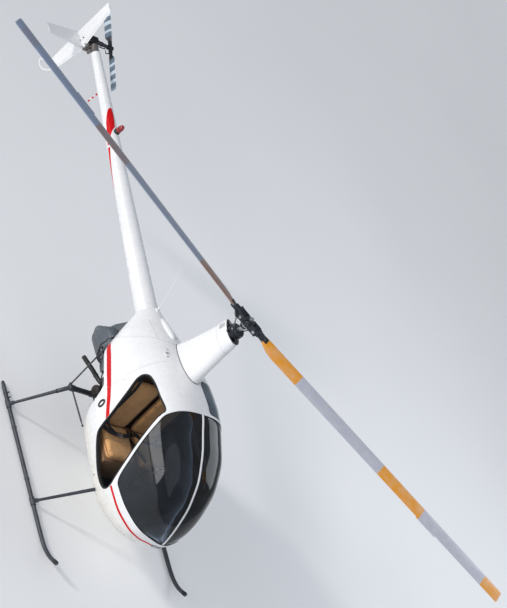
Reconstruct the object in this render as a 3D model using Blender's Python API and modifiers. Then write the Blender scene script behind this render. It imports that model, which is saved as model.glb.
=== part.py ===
# A light two-seat helicopter standing on its skids, real size in metres, nose to -Y, +Z up.
# All places below are stated from the rotor mast's axis on the ground. SHIFT moves the whole to its frame.
import bpy
import bmesh
import math
import numpy as np
from mathutils import Vector, Matrix

SHIFT = Vector((0.0, -1.0205, 0.0))
GAP = 0.0003
WALL = 0.030
COWL = 0.014
PANE_OUT = 0.003
PANE_IN = 0.008
DOOR_GAP = 0.006
DOOR_LIFT = 0.012

for old in list(bpy.data.objects):
    bpy.data.objects.remove(old, do_unlink=True)
PARTS = bpy.data.collections.new("helicopter")
CUTTERS = bpy.data.collections.new("cutters")
bpy.context.scene.collection.children.link(PARTS)
bpy.context.scene.collection.children.link(CUTTERS)

# Colours as photographed: name, colour, roughness, metallic
PAINTS = {
    "white_paint": ((0.86, 0.87, 0.88), 0.32, 0.0),
    "slate_paint": ((0.055, 0.060, 0.075), 0.45, 0.0),
    "black_trim": ((0.020, 0.020, 0.022), 0.55, 0.0),
    "smoked_glass": ((0.16, 0.20, 0.26), 0.08, 0.0),
    "tan_cloth": ((0.52, 0.40, 0.30), 0.85, 0.0),
    "grey_metal": ((0.30, 0.31, 0.33), 0.45, 0.8),
    "engine_metal": ((0.13, 0.13, 0.14), 0.55, 0.6),
    "blade_paint": ((0.62, 0.62, 0.68), 0.40, 0.0),
    "red_paint": ((0.72, 0.04, 0.05), 0.35, 0.0),
    "grey_lining": ((0.16, 0.16, 0.17), 0.80, 0.0),
}


def paint(name):
    found = bpy.data.materials.get(name)
    if found:
        return found
    colour, rough, metal = PAINTS[name]
    made = bpy.data.materials.new(name)
    made.use_nodes = True
    shader = made.node_tree.nodes["Principled BSDF"]
    shader.inputs["Base Color"].default_value = (*colour, 1.0)
    shader.inputs["Roughness"].default_value = rough
    shader.inputs["Metallic"].default_value = metal
    return made


def put(name, shape, look, at=(0, 0, 0), into=None):
    # The mesh is stated from the mast's foot and kept from its own origin
    at = Vector(at)
    bmesh.ops.translate(shape, verts=shape.verts, vec=-at)
    bmesh.ops.recalc_face_normals(shape, faces=shape.faces)
    mesh = bpy.data.meshes.new(name)
    shape.to_mesh(mesh)
    shape.free()
    piece = bpy.data.objects.new(name, mesh)
    piece.location = at + SHIFT
    (into or PARTS).objects.link(piece)
    if look:
        mesh.materials.append(paint(look))
    else:
        piece.hide_render = True
        piece.display_type = "WIRE"
    return piece


def cutter(name, shape):
    return put(name, shape, None, (0, 0, 0), CUTTERS)


def carve(piece, other, how="DIFFERENCE"):
    step = piece.modifiers.new(how.lower(), "BOOLEAN")
    step.operation = how
    step.solver = "EXACT"
    step.object = other


def round_edges(piece, width, segments=2):
    step = piece.modifiers.new("round", "BEVEL")
    step.width = width
    step.segments = segments
    step.limit_method = "ANGLE"
    step.angle_limit = math.radians(40)


def turned(shape, matrix):
    bmesh.ops.transform(shape, verts=shape.verts, matrix=matrix)
    return shape


def box_shape(x0, x1, y0, y1, z0, z1):
    shape = bmesh.new()
    bmesh.ops.create_cube(shape, size=1.0)
    bmesh.ops.scale(shape, verts=shape.verts, vec=(x1 - x0, y1 - y0, z1 - z0))
    bmesh.ops.translate(shape, verts=shape.verts, vec=((x0 + x1) / 2, (y0 + y1) / 2, (z0 + z1) / 2))
    return shape


def rod_shape(start, end, r_start, r_end=None, sides=12):
    # A straight round bar or cone between two points, one flat side turned down
    start = Vector(start)
    end = Vector(end)
    run = end - start
    shape = bmesh.new()
    bmesh.ops.create_cone(shape, cap_ends=True, segments=sides, radius1=r_start,
                          radius2=r_start if r_end is None else r_end, depth=run.length)
    turn = run.to_track_quat("Z", "Y").to_matrix() @ Matrix.Rotation(math.pi / sides, 3, "Z")
    bmesh.ops.transform(shape, verts=shape.verts, matrix=Matrix.Translation((start + end) / 2) @ turn.to_4x4())
    return shape


def prism_shape(outline, x0, x1):
    # A side view outline of (y, z) points drawn through from x0 to x1
    shape = bmesh.new()
    face = shape.faces.new([shape.verts.new((x0, y, z)) for y, z in outline])
    grown = bmesh.ops.extrude_face_region(shape, geom=[face])
    moved = [v for v in grown["geom"] if isinstance(v, bmesh.types.BMVert)]
    bmesh.ops.translate(shape, verts=moved, vec=(x1 - x0, 0, 0))
    return shape


def loft_shape(rings, tip=None):
    # Rings of equal count joined in order, flat caps at the ends, or a point at the first end
    shape = bmesh.new()
    rows = [[shape.verts.new(p) for p in ring] for ring in rings]
    count = len(rows[0])
    for low, high in zip(rows, rows[1:]):
        for k in range(count):
            n = (k + 1) % count
            shape.faces.new((low[k], low[n], high[n], high[k]))
    if tip is None:
        shape.faces.new(list(reversed(rows[0])))
    else:
        point = shape.verts.new(tip)
        for k in range(count):
            shape.faces.new((rows[0][(k + 1) % count], rows[0][k], point))
    shape.faces.new(rows[-1])
    return shape


def grow(outline, by):
    # The outline moved outward by a distance, corner by corner
    pts = np.array(outline, float)
    area = 0.5 * np.sum(pts[:, 0] * np.roll(pts[:, 1], -1) - np.roll(pts[:, 0], -1) * pts[:, 1])
    sign = 1.0 if area > 0 else -1.0
    ahead = np.roll(pts, -1, axis=0) - pts
    ahead /= np.linalg.norm(ahead, axis=1)[:, None]
    out = np.stack([ahead[:, 1], -ahead[:, 0]], axis=1) * sign
    back = np.roll(out, 1, axis=0)
    mitre = out + back
    mitre /= np.sum(mitre * out, axis=1)[:, None]
    return [tuple(p) for p in pts + mitre * by]


# Cabin and cowl sections: y, half width, top, bottom, height of the widest point, roundness up and down
BODY = [
    (-1.590, 0.085, 0.800, 0.655, 0.725, 2.0, 2.0),
    (-1.555, 0.145, 0.890, 0.600, 0.732, 2.0, 2.0),
    (-1.500, 0.210, 1.015, 0.545, 0.740, 2.1, 2.1),
    (-1.430, 0.275, 1.155, 0.495, 0.750, 2.2, 2.2),
    (-1.340, 0.345, 1.290, 0.450, 0.765, 2.3, 2.2),
    (-1.230, 0.415, 1.405, 0.405, 0.785, 2.4, 2.3),
    (-1.100, 0.478, 1.489, 0.370, 0.815, 2.5, 2.4),
    (-0.950, 0.530, 1.579, 0.345, 0.850, 2.6, 2.5),
    (-0.780, 0.556, 1.649, 0.332, 0.890, 2.7, 2.6),
    (-0.590, 0.562, 1.712, 0.330, 0.930, 2.8, 2.7),
    (-0.380, 0.562, 1.738, 0.330, 0.960, 2.8, 2.7),
    (-0.170, 0.548, 1.735, 0.338, 0.990, 2.7, 2.6),
    (0.030, 0.510, 1.710, 0.360, 1.020, 2.6, 2.5),
    (0.220, 0.465, 1.672, 0.425, 1.065, 2.42, 2.4),
    (0.400, 0.418, 1.630, 0.530, 1.112, 2.19, 2.25),
    (0.570, 0.372, 1.588, 0.680, 1.185, 1.91, 2.15),
    (0.720, 0.270, 1.552, 0.915, 1.265, 1.76, 2.0),
    (0.850, 0.165, 1.522, 1.235, 1.377, 1.80, 2.0),
]
NOSE_TIP = (0.0, -1.606, 0.724)
BODY_SIDES = 40


def body_shape():
    rings = []
    for y, w, top, low, mid, nu, nl in BODY:
        ring = []
        for k in range(BODY_SIDES):
            a = 2 * math.pi * (k + 0.5) / BODY_SIDES
            c = math.cos(a)
            s = math.sin(a)
            n = nu if s > 0 else nl
            reach = (top - mid) if s > 0 else (mid - low)
            x = w * math.copysign(abs(c) ** (2 / n), c)
            z = mid + reach * math.copysign(abs(s) ** (2 / n), s)
            ring.append((x, y, z))
        rings.append(ring)
    shape = loft_shape(rings, NOSE_TIP)
    sides = [face for face in shape.faces if len(face.verts) == 4]
    bmesh.ops.triangulate(shape, faces=sides, quad_method="FIXED")
    return shape


def shrunk_body(depth):
    shape = body_shape()
    bmesh.ops.recalc_face_normals(shape, faces=shape.faces)
    shape.normal_update()
    moves = [(v, v.normal.copy()) for v in shape.verts]
    for v, normal in moves:
        v.co -= normal * depth
    return shape


# Side view outlines, (y, z)
SCREEN = [(-0.580, 1.900), (-0.580, 1.660), (-0.600, 1.560), (-0.658, 1.470), (-0.745, 1.310), (-0.855, 1.090),
          (-0.942, 0.885), (-0.978, 0.830), (-1.010, 0.802), (-1.060, 0.786), (-1.170, 0.766), (-1.365, 0.742),
          (-1.500, 0.736), (-1.800, 0.736), (-1.800, 1.900)]
DOOR = [(-0.572, 1.580), (-0.603, 1.522), (-0.634, 1.468), (-0.731, 1.300), (-0.836, 1.080), (-0.951, 0.800),
        (-0.977, 0.740), (-0.985, 0.670), (-0.962, 0.618), (-0.900, 0.596), (-0.790, 0.600), (-0.640, 0.636),
        (-0.450, 0.716), (-0.372, 0.770), (-0.335, 0.850), (-0.290, 1.000), (-0.170, 1.271), (-0.075, 1.415),
        (-0.070, 1.470), (-0.105, 1.525), (-0.200, 1.560), (-0.380, 1.580)]
DOOR_PANE = [(-0.535, 1.540), (-0.580, 1.455), (-0.685, 1.285), (-0.795, 1.065), (-0.835, 0.985), (-0.829, 0.962),
             (-0.790, 0.950), (-0.420, 0.990), (-0.345, 1.020), (-0.230, 1.255), (-0.130, 1.420), (-0.135, 1.480),
             (-0.200, 1.515), (-0.360, 1.540)]
ENGINE_BAY = [(-0.050, 0.100), (-0.060, 0.560), (0.000, 0.730), (0.035, 0.835), (0.065, 0.902), (0.105, 0.957),
              (0.160, 0.966), (0.420, 0.974), (0.510, 0.972), (0.580, 0.975), (0.640, 1.030), (0.700, 1.115),
              (0.765, 1.205), (0.800, 1.245), (1.200, 1.245), (1.200, 0.100)]
SEAM_Y = 0.030
ROOF_Z = 1.520
STRIP_HALF = 0.017

outer = cutter("body_outer", body_shape())
grown_body = cutter("body_grown", shrunk_body(-GAP))
inner = cutter("body_inner", shrunk_body(WALL))
lining = cutter("body_lining", shrunk_body(WALL + GAP))
cowl_inner = cutter("cowl_inner", shrunk_body(COWL))
pane_inner = cutter("pane_inner", shrunk_body(PANE_IN))
screen_hole = cutter("screen_hole", prism_shape(grow(SCREEN, GAP), -0.8, 0.8))
screen_form = cutter("screen_form", prism_shape(grow(SCREEN, -GAP), -0.8, 0.8))
door_right_hole = cutter("door_right_hole", prism_shape(DOOR, -0.8, -0.25))
door_left_hole = cutter("door_left_hole", prism_shape(DOOR, 0.25, 0.8))
# The door's lower edge stands higher off its frame, so that the slanted hinge carries it clear
DOOR_EDGE = [(y, z + DOOR_LIFT if z < 0.620 else z) for y, z in DOOR]
door_form = cutter("door_form", prism_shape(grow(DOOR_EDGE, -DOOR_GAP), 0.25, 0.8))
door_pane_hole = cutter("door_pane_hole", prism_shape(grow(DOOR_PANE, GAP), 0.25, 0.8))
door_pane_form = cutter("door_pane_form", prism_shape(grow(DOOR_PANE, -GAP), 0.25, 0.8))
bay_hole = cutter("bay_hole", prism_shape(ENGINE_BAY, -0.8, 0.8))


def shell(name, look, inside, at=(0, 0, 0), skin=None):
    piece = put(name, shrunk_body(skin) if skin else body_shape(), look, at)
    carve(piece, inside)
    return piece


def keep(piece, label, bounds):
    carve(piece, cutter(label, box_shape(*bounds)), "INTERSECT")


lower = shell("cabin_lower_shell", "white_paint", inner)
keep(lower, "keep_lower", (-0.8, 0.8, -1.8, SEAM_Y - GAP, 0.1, ROOF_Z - GAP))
for hole in (screen_hole, door_right_hole, door_left_hole, bay_hole):
    carve(lower, hole)

roof = shell("cabin_roof", "white_paint", inner)
keep(roof, "keep_roof", (-0.8, 0.8, -1.8, SEAM_Y - GAP, ROOF_Z + GAP, 2.0))
for hole in (screen_hole, door_right_hole, door_left_hole):
    carve(roof, hole)

cowl = shell("aft_cowl", "white_paint", cowl_inner)
keep(cowl, "keep_cowl", (-0.8, 0.8, SEAM_Y + GAP, 1.0, 0.1, 2.0))
carve(cowl, bay_hole)

# Windscreen halves: name, x from, x to
for name, x0, x1 in (("windscreen_right", -0.8, -STRIP_HALF - GAP), ("windscreen_left", STRIP_HALF + GAP, 0.8)):
    pane = shell(name, "smoked_glass", pane_inner, (0, 0, 0), PANE_OUT)
    carve(pane, screen_form, "INTERSECT")
    keep(pane, "keep_" + name, (x0, x1, -1.8, 0.0, 0.6, 1.9))
strip = shell("windscreen_strip", "white_paint", inner)
carve(strip, screen_form, "INTERSECT")
keep(strip, "keep_strip", (-STRIP_HALF, STRIP_HALF, -1.8, 0.0, 0.6, 1.9))

# The left door turns about a slanted line just outside its front edge
HINGE = Vector((0.575, -0.775, 1.100))
HINGE_LINE = Vector((0.0, 0.430, 0.9028)).normalized()
PIN_R = 0.005
# Each hinge: name, place along the line, front edge of its foot on the frame
HINGE_STEPS = (("low", -0.220, -0.0575), ("high", 0.190, -0.0625))
FOOT_WIDE = 0.014
door = shell("left_door", "white_paint", inner, HINGE)
carve(door, door_form, "INTERSECT")
carve(door, door_pane_hole)
for label, along, front in HINGE_STEPS:
    # Each hinge: a bracket with its pin on the frame, a knuckle on the door around the pin
    spot = HINGE + HINGE_LINE * along
    aft = HINGE_LINE.cross(Vector((1, 0, 0)))
    place = Matrix.Translation(spot) @ Matrix(((1, 0, 0), aft, HINGE_LINE)).transposed().to_4x4()
    foot = box_shape(-0.080, 0.009, front, front + FOOT_WIDE, -0.030, -0.001)
    bracket = put("hinge_bracket_" + label, turned(foot, place), "white_paint")
    arm = box_shape(-0.009, 0.0085, front + 0.0005, 0.009, -0.030, -0.0012)
    carve(bracket, cutter("hinge_arm_" + label, turned(arm, place)), "UNION")
    pin = rod_shape(spot - HINGE_LINE * 0.020, spot + HINGE_LINE * 0.034, PIN_R)
    carve(bracket, cutter("hinge_pin_" + label, pin), "UNION")
    carve(bracket, grown_body)
    knuckle_root = turned(box_shape(-0.050, 0.0088, -0.026, -0.002, 0.0, 0.028), place)
    carve(door, cutter("hinge_root_" + label, knuckle_root), "UNION")
    knuckle = turned(box_shape(-0.0088, 0.0087, -0.009, 0.009, 0.0002, 0.0278), place)
    carve(door, cutter("hinge_knuckle_" + label, knuckle), "UNION")
    bore = rod_shape(spot - HINGE_LINE * 0.010, spot + HINGE_LINE * 0.050, PIN_R + 0.0008)
    carve(door, cutter("hinge_bore_" + label, bore))
door_pane = shell("left_door_pane", "smoked_glass", pane_inner, HINGE, PANE_OUT)
carve(door_pane, door_pane_form, "INTERSECT")

# Cabin floor and rear wall are slices of the inner form
FLOOR_TOP = 0.415
FLOOR_LOW = 0.395
FLOOR_AFT = -0.098
REAR_WALL = [(-0.062, 0.200), (-0.072, 0.562), (-0.014, 0.735), (0.008, 0.775), (0.008, 1.800), (-0.012, 1.800),
             (-0.012, 0.780), (-0.033, 0.745), (-0.092, 0.566), (-0.082, 0.200)]
floor = put("cabin_floor", shrunk_body(WALL + GAP), "grey_lining")
keep(floor, "keep_floor", (-0.8, 0.8, -1.36, FLOOR_AFT, FLOOR_LOW, FLOOR_TOP))
rear_wall = put("cabin_rear_wall", prism_shape(REAR_WALL, -0.8, 0.8), "grey_lining")
carve(rear_wall, lining, "INTERSECT")

# Seats: one moulded base across the cabin, a cushion and a back each side
SEAT_FRONT = -0.640
SEAT_TOP = 0.680
seat_base = put("seat_base", box_shape(-0.455, 0.455, SEAT_FRONT, -0.125, FLOOR_TOP + GAP, SEAT_TOP), "grey_lining")
carve(seat_base, lining, "INTERSECT")
for side, name in ((-1, "right"), (1, "left")):
    x0, x1 = sorted((side * 0.035, side * 0.450))
    cushion = put("seat_cushion_" + name, box_shape(x0, x1, SEAT_FRONT + 0.010, -0.190, SEAT_TOP + GAP, SEAT_TOP + 0.080),
                  "tan_cloth")
    round_edges(cushion, 0.025)
    back_outline = [(-0.180, SEAT_TOP + GAP), (-0.127, SEAT_TOP + GAP), (-0.022, 1.360), (-0.090, 1.360)]
    back = put("seat_back_" + name, prism_shape(back_outline, x0, x1), "tan_cloth")
    round_edges(back, 0.022)

# Instrument pedestal: outline in the side view, narrower at its foot
pedestal_outline = [(-1.190, FLOOR_TOP + GAP), (-0.980, FLOOR_TOP + GAP), (-0.960, 0.700), (-1.010, 1.060),
                    (-1.200, 1.110), (-1.255, 0.900)]
pedestal = put("instrument_pedestal", prism_shape(pedestal_outline, -0.135, 0.135), "black_trim")
carve(pedestal, lining, "INTERSECT")


def tube(name, pts, radius, look, sides_level=1):
    # A bent round bar along straight runs, closed at both ends
    line = bpy.data.curves.new(name, "CURVE")
    line.dimensions = "3D"
    spline = line.splines.new("POLY")
    spline.points.add(len(pts) - 1)
    for point, p in zip(spline.points, pts):
        point.co = (*p, 1.0)
    line.bevel_depth = radius
    line.bevel_resolution = sides_level
    line.use_fill_caps = True
    held = bpy.data.objects.new(name + "_path", line)
    CUTTERS.objects.link(held)
    mesh = bpy.data.meshes.new_from_object(held)
    bpy.data.objects.remove(held, do_unlink=True)
    shape = bmesh.new()
    shape.from_mesh(mesh)
    bpy.data.meshes.remove(mesh)
    bmesh.ops.remove_doubles(shape, verts=shape.verts, dist=1e-6)
    return put(name, shape, look)


# Cyclic stick: a post between the seats with a cross bar
tube("cyclic_stick", [(0, -0.760, FLOOR_TOP + GAP), (0, -0.760, 0.460), (0, -0.730, 0.720), (0, -0.760, 0.930), (0.18, -0.720, 0.925),
                      (0.19, -0.700, 0.860)], 0.013, "black_trim")

# Rotor mast fairing: z, leading edge y, trailing edge y, half thickness
FAIRING = [(1.560, -0.250, 0.330, 0.125), (1.700, -0.235, 0.305, 0.118), (1.800, -0.215, 0.275, 0.108),
           (2.000, -0.185, 0.235, 0.095), (2.200, -0.155, 0.205, 0.086), (2.340, -0.140, 0.190, 0.080),
           (2.365, -0.130, 0.180, 0.074)]


def drop_ring(z, lead, trail, half, count=20):
    # A streamlined outline: round in front, narrow behind
    ring = []
    for k in range(count):
        a = 2 * math.pi * k / count
        along = 0.5 - 0.5 * math.cos(a)
        y = lead + (trail - lead) * along
        x = half * math.sin(a) * (1.22 - 0.62 * along)
        ring.append((x, y, z))
    return ring


fairing = put("mast_fairing", loft_shape([drop_ring(*row) for row in FAIRING]), "white_paint")
carve(fairing, grown_body)
carve(fairing, cutter("mast_bearing", rod_shape((0, 0, 2.15), (0, 0, 2.45), 0.0310, None, 24)))
carve(fairing, cutter("mast_socket", rod_shape((0, 0, 2.20), (0, 0, 2.45), 0.050)))

HUB_Z = 2.593
HUB = (0, 0, HUB_Z)
ROTOR_TURN = math.radians(42.8)
CONE = math.radians(2.85)
ROOT_R = 0.225
TIP_R = 3.835

put("rotor_mast", rod_shape((0, 0, 2.1508), (0, 0, HUB_Z - 0.0433), 0.030, None, 24), "grey_metal", HUB)
swash_low = put("swashplate_fixed", rod_shape((0, 0, 2.366), (0, 0, 2.414), 0.078, 0.085, 20), "black_trim")
carve(swash_low, cutter("swash_bore", rod_shape((0, 0, 2.30), (0, 0, 2.50), 0.037, None, 20)))
swash_top = put("swashplate_turning", rod_shape((0, 0, 2.420), (0, 0, 2.446), 0.085, 0.080, 20), "black_trim", HUB)
carve(swash_top, cutter("swash_bore_top", rod_shape((0, 0, 2.40), (0, 0, 2.46), 0.030 + GAP, None, 24)))

# Along the blade line the front blade is +u
TURN = Matrix.Rotation(ROTOR_TURN - math.pi / 2, 4, "Z")


# Rotor hub and its two blade fittings: distance out, rise, half width, half height
HUB_FORM = [(-0.2235, 0.0085, 0.036, 0.026), (-0.160, 0.005, 0.042, 0.034), (-0.140, 0.003, 0.055, 0.046),
            (0.140, 0.003, 0.055, 0.046), (0.160, 0.005, 0.042, 0.034), (0.2235, 0.0085, 0.036, 0.026)]
hub_rings = []
for u, rise, half, high in HUB_FORM:
    hub_rings.append([(u, a * half, rise + b * high) for a, b in ((-1, -0.6), (-0.6, -1), (0.6, -1), (1, -0.6),
                                                                 (1, 0.6), (0.6, 1), (-0.6, 1), (-1, 0.6))])
put("rotor_hub", turned(loft_shape(hub_rings), Matrix.Translation(HUB) @ TURN), "slate_paint", HUB)

# Main blade sections: distance out, chord, leading edge ahead of the pitch line, pitch in degrees
CHORD = 0.183
LEAD = 0.30
BLADE = [(0.2250, 0.088, 0.044, 13.0), (0.3000, 0.105, 0.050, 12.9), (0.4500, 0.160, 0.055, 12.6),
         (0.5600, CHORD, 0.055, 12.4), (1.2000, CHORD, 0.055, 11.0), (2.0000, CHORD, 0.055, 9.3),
         (2.8000, CHORD, 0.055, 7.6), (3.4000, CHORD, 0.055, 6.3), (3.7900, CHORD, 0.055, 5.5),
         (3.8350, 0.150, 0.040, 5.4)]
# Aerofoil: part of the chord from the leading edge, height up and down as parts of the chord
FOIL = [(0.0, 0.0), (0.03, 0.032), (0.15, 0.058), (0.40, 0.056), (0.75, 0.026), (1.0, 0.003),
        (1.0, -0.003), (0.75, -0.020), (0.40, -0.042), (0.15, -0.046), (0.03, -0.028)]


def blade_shape(rows, foil):
    # u runs out along the span, v is ahead as the blade turns
    rings = []
    for out, chord, ahead, pitch in rows:
        p = math.radians(pitch)
        ring = []
        for c, t in foil:
            v = ahead - c * chord
            w = t * chord
            ring.append((out, v * math.cos(p) - w * math.sin(p), v * math.sin(p) + w * math.cos(p)))
        rings.append(ring)
    return loft_shape(rings)


CONED = Matrix.Rotation(-CONE, 4, "Y")
for name, half_turn in (("main_blade_front", 0), ("main_blade_rear", math.pi)):
    place = Matrix.Translation(HUB) @ TURN @ Matrix.Rotation(half_turn, 4, "Z") @ CONED
    put(name, turned(blade_shape(BLADE, FOIL), place), "blade_paint", HUB)

# Tail cone: a thin tube from inside the cowl to the tail rotor
CONE_FRONT = (0.0, 0.805, 1.3730)
CONE_BACK = (0.0, 4.225, 1.6860)
tail_cone = put("tail_cone", rod_shape(CONE_FRONT, CONE_BACK, 0.126, 0.0535, 24), "white_paint")
aim = (Vector(CONE_BACK) - Vector(CONE_FRONT)).normalized()
carve(tail_cone, cutter("tail_cone_bore", rod_shape(Vector(CONE_FRONT) - aim * 0.1, Vector(CONE_BACK) + aim * 0.1,
                                                     0.1245, 0.0485, 24)))
cone_room = rod_shape(Vector(CONE_FRONT) - aim * 0.3, Vector(CONE_BACK) + aim * 0.1, 0.13267, 0.0517, 24)
carve(cowl, cutter("tail_cone_room", cone_room))

# Tail: the fins stand just right of the cone's end, the one stabiliser reaches right
FIN_X = -0.085
# Fin section: part of the chord from its leading edge, part of its half thickness
FIN_FORM = [(0.0, 0.25), (0.12, 1.0), (0.45, 1.0), (1.0, 0.12)]
gearbox = put("tail_gearbox", box_shape(-0.052, 0.052, 4.215, 4.470, 1.645, 1.765), "grey_metal")
carve(gearbox, cutter("cone_end_room", rod_shape(Vector(CONE_BACK) - aim * 0.1, Vector(CONE_BACK) + aim * GAP, 0.15)))
put("tail_shaft", rod_shape((0.0523, 4.394, 1.708), (0.2195, 4.394, 1.708), 0.030, 0.020), "grey_metal")


def fin_shape(root, tip, half_root, half_tip):
    # root and tip are each a leading and a trailing point, thick in x
    rings = []
    for (y0, z0), (y1, z1), half in ((*root, half_root), (*tip, half_tip)):
        ring = []
        for c, t in FIN_FORM:
            ring.append((FIN_X + t * half, y0 + (y1 - y0) * c, z0 + (z1 - z0) * c))
        for c, t in reversed(FIN_FORM):
            ring.append((FIN_X - t * half, y0 + (y1 - y0) * c, z0 + (z1 - z0) * c))
        rings.append(ring)
    return loft_shape(rings)


put("upper_fin", fin_shape(((4.325, 1.612), (4.575, 1.612)), ((4.478, 2.112), (4.615, 2.114)), 0.014, 0.009),
    "white_paint")
put("lower_fin", fin_shape(((4.322, 1.588), (4.575, 1.588)), ((4.372, 1.128), (4.520, 1.098)), 0.014, 0.009),
    "white_paint")


def stabiliser_shape():
    rings = []
    for x, y0, y1, half in ((FIN_X - 0.0145, 4.318, 4.580, 0.012), (-0.590, 4.355, 4.512, 0.008)):
        ring = [(x, y0 + (y1 - y0) * c, 1.600 + t * half) for c, t in FIN_FORM]
        ring += [(x, y0 + (y1 - y0) * c, 1.600 - t * half) for c, t in reversed(FIN_FORM)]
        rings.append(ring)
    return loft_shape(rings)


put("stabiliser", stabiliser_shape(), "white_paint")
tube("tail_guard", [(FIN_X, 4.395, 1.118), (FIN_X, 4.420, 1.055), (FIN_X, 4.500, 0.975), (FIN_X, 4.600, 0.955),
                    (FIN_X, 4.640, 0.985), (FIN_X, 4.600, 1.020), (FIN_X, 4.505, 1.093)], 0.009, "white_paint")
bracket = put("tail_bracket", box_shape(FIN_X + 0.0145, -0.0525, 4.300, 4.480, 1.560, 1.690), "slate_paint")

# Tail rotor, turning about x on the left
TAIL_HUB = (0.264, 4.394, 1.708)
TAIL_TURN = math.radians(14.0)
put("tail_rotor_hub", rod_shape((0.220, 4.394, 1.708), (0.300, 4.394, 1.708), 0.030, 0.028), "slate_paint", TAIL_HUB)
tail_hub_room = cutter("tail_hub_room", rod_shape((0.220, 4.394, 1.708), (0.300, 4.394, 1.708), 0.030 + GAP,
                                                  0.028 + GAP))
TAIL_BLADE = [(0.0220, 0.050, 0.025, 8.0), (0.1000, 0.060, 0.028, 8.0), (0.1500, 0.098, 0.035, 8.0),
              (0.5200, 0.098, 0.035, 8.0), (0.5350, 0.080, 0.026, 8.0)]
TO_SIDE = Matrix.Rotation(math.pi / 2, 4, "Z") @ Matrix.Rotation(math.pi / 2, 4, "X")
for name, half_turn in (("tail_blade_aft", 0), ("tail_blade_front", math.pi)):
    place = Matrix.Translation(TAIL_HUB) @ Matrix.Rotation(TAIL_TURN + half_turn, 4, "X") @ TO_SIDE
    carve(put(name, turned(blade_shape(TAIL_BLADE, FOIL), place), "blade_paint", TAIL_HUB), tail_hub_room)

# Landing gear: two skids, four legs, a cross tube behind and four braces
SKID_X = 0.945
SKID_R = 0.0230
SKID_LINE = [(0.615, 0.0), (-1.300, 0.0), (-1.440, 0.012), (-1.560, 0.048), (-1.673, 0.115)]
AFT_Y = 0.320
FRONT_Y = -0.871


def skid_shape(side, radius, line):
    rings = []
    for i, (y, up) in enumerate(line):
        y_a, z_a = line[max(i - 1, 0)]
        y_b, z_b = line[min(i + 1, len(line) - 1)]
        lean = math.atan2(z_b - z_a, y_a - y_b)
        ring = []
        for k in range(12):
            a = 2 * math.pi * (k + 0.5) / 12
            rise = radius / math.cos(math.pi / 12) * math.sin(a)
            ring.append((side * SKID_X + radius / math.cos(math.pi / 12) * math.cos(a),
                         y + rise * math.sin(lean), SKID_R + up + rise * math.cos(lean)))
        rings.append(ring)
    return loft_shape(rings)


ELBOW_AFT = (0.530, AFT_Y, 0.545)
ELBOW_FRONT = (0.500, FRONT_Y, 0.440)
TUBE_R = 0.0195
TUBE_FOOT_R = 0.0150
put("aft_cross_tube", rod_shape((-ELBOW_AFT[0], AFT_Y, ELBOW_AFT[2]), (ELBOW_AFT[0], AFT_Y, ELBOW_AFT[2]), 0.030),
    "slate_paint")
for side, name in ((-1, "right"), (1, "left")):
    put("skid_" + name, skid_shape(side, SKID_R, SKID_LINE), "slate_paint")
    room = cutter("skid_room_" + name, skid_shape(side, SKID_R + GAP, [(0.7, 0.0), (-1.25, 0.0)]))
    aft_leg = put("leg_aft_" + name, rod_shape((side * 0.538, AFT_Y, 0.535), (side * SKID_X, AFT_Y, 0.028), TUBE_R,
                                                TUBE_FOOT_R),
                  "slate_paint")
    carve(aft_leg, room)
    carve(aft_leg, cutter("cross_room_" + name, rod_shape((-0.530 - GAP, AFT_Y, 0.545), (0.530 + GAP, AFT_Y, 0.545),
                                                          0.030 + GAP)))
    front_leg = put("leg_front_" + name, rod_shape((side * 0.400, FRONT_Y, 0.520), (side * SKID_X, FRONT_Y, 0.028),
                                                   TUBE_R, TUBE_FOOT_R), "slate_paint")
    carve(front_leg, room)
    carve(front_leg, grown_body)

# Engine, its fan housing behind and the exhaust below
ENGINE = (-0.250, 0.250, 0.0083, 0.420, 0.700, 0.950)
put("engine_block", box_shape(*ENGINE), "engine_metal")
# Shroud before the fan: y, half width, bottom, top
SHROUD = [(0.4205, 0.280, 0.790, 0.945), (0.500, 0.288, 0.810, 0.970), (0.600, 0.295, 0.855, 1.005),
          (0.690, 0.300, 0.880, 1.065)]
# Drum around the fan: y and top; its lower half outline in x and z, its upper half in x and share of the height
DRUM = [(0.700, 1.090), (0.760, 1.090), (0.800, 1.085), (0.844, 1.061), (0.880, 1.020), (0.905, 0.983),
        (0.930, 0.955)]
DRUM_MID = 0.905
DRUM_LOW = [(0.085, 0.650), (0.162, 0.697), (0.226, 0.771), (0.266, 0.842), (0.284, 0.868), (0.303, DRUM_MID)]
DRUM_HIGH = [(0.303, 0.35), (0.298, 0.70), (0.280, 0.88), (0.245, 1.00), (0.120, 1.04)]
# Duct from the drum up to the cowl: z, half width, front, back
DUCT = [(0.960, 0.200, 0.705, 0.915), (1.070, 0.182, 0.705, 0.900), (1.226, 0.155, 0.705, 0.842),
        (1.235, 0.150, 0.705, 0.838)]


def mirrored_ring(y, lowest, half):
    # The lowest point, one side upward from it and the other side back down
    return [(0, y, lowest)] + [(x, y, z) for x, z in half] + [(-x, y, z) for x, z in reversed(half)]


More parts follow.
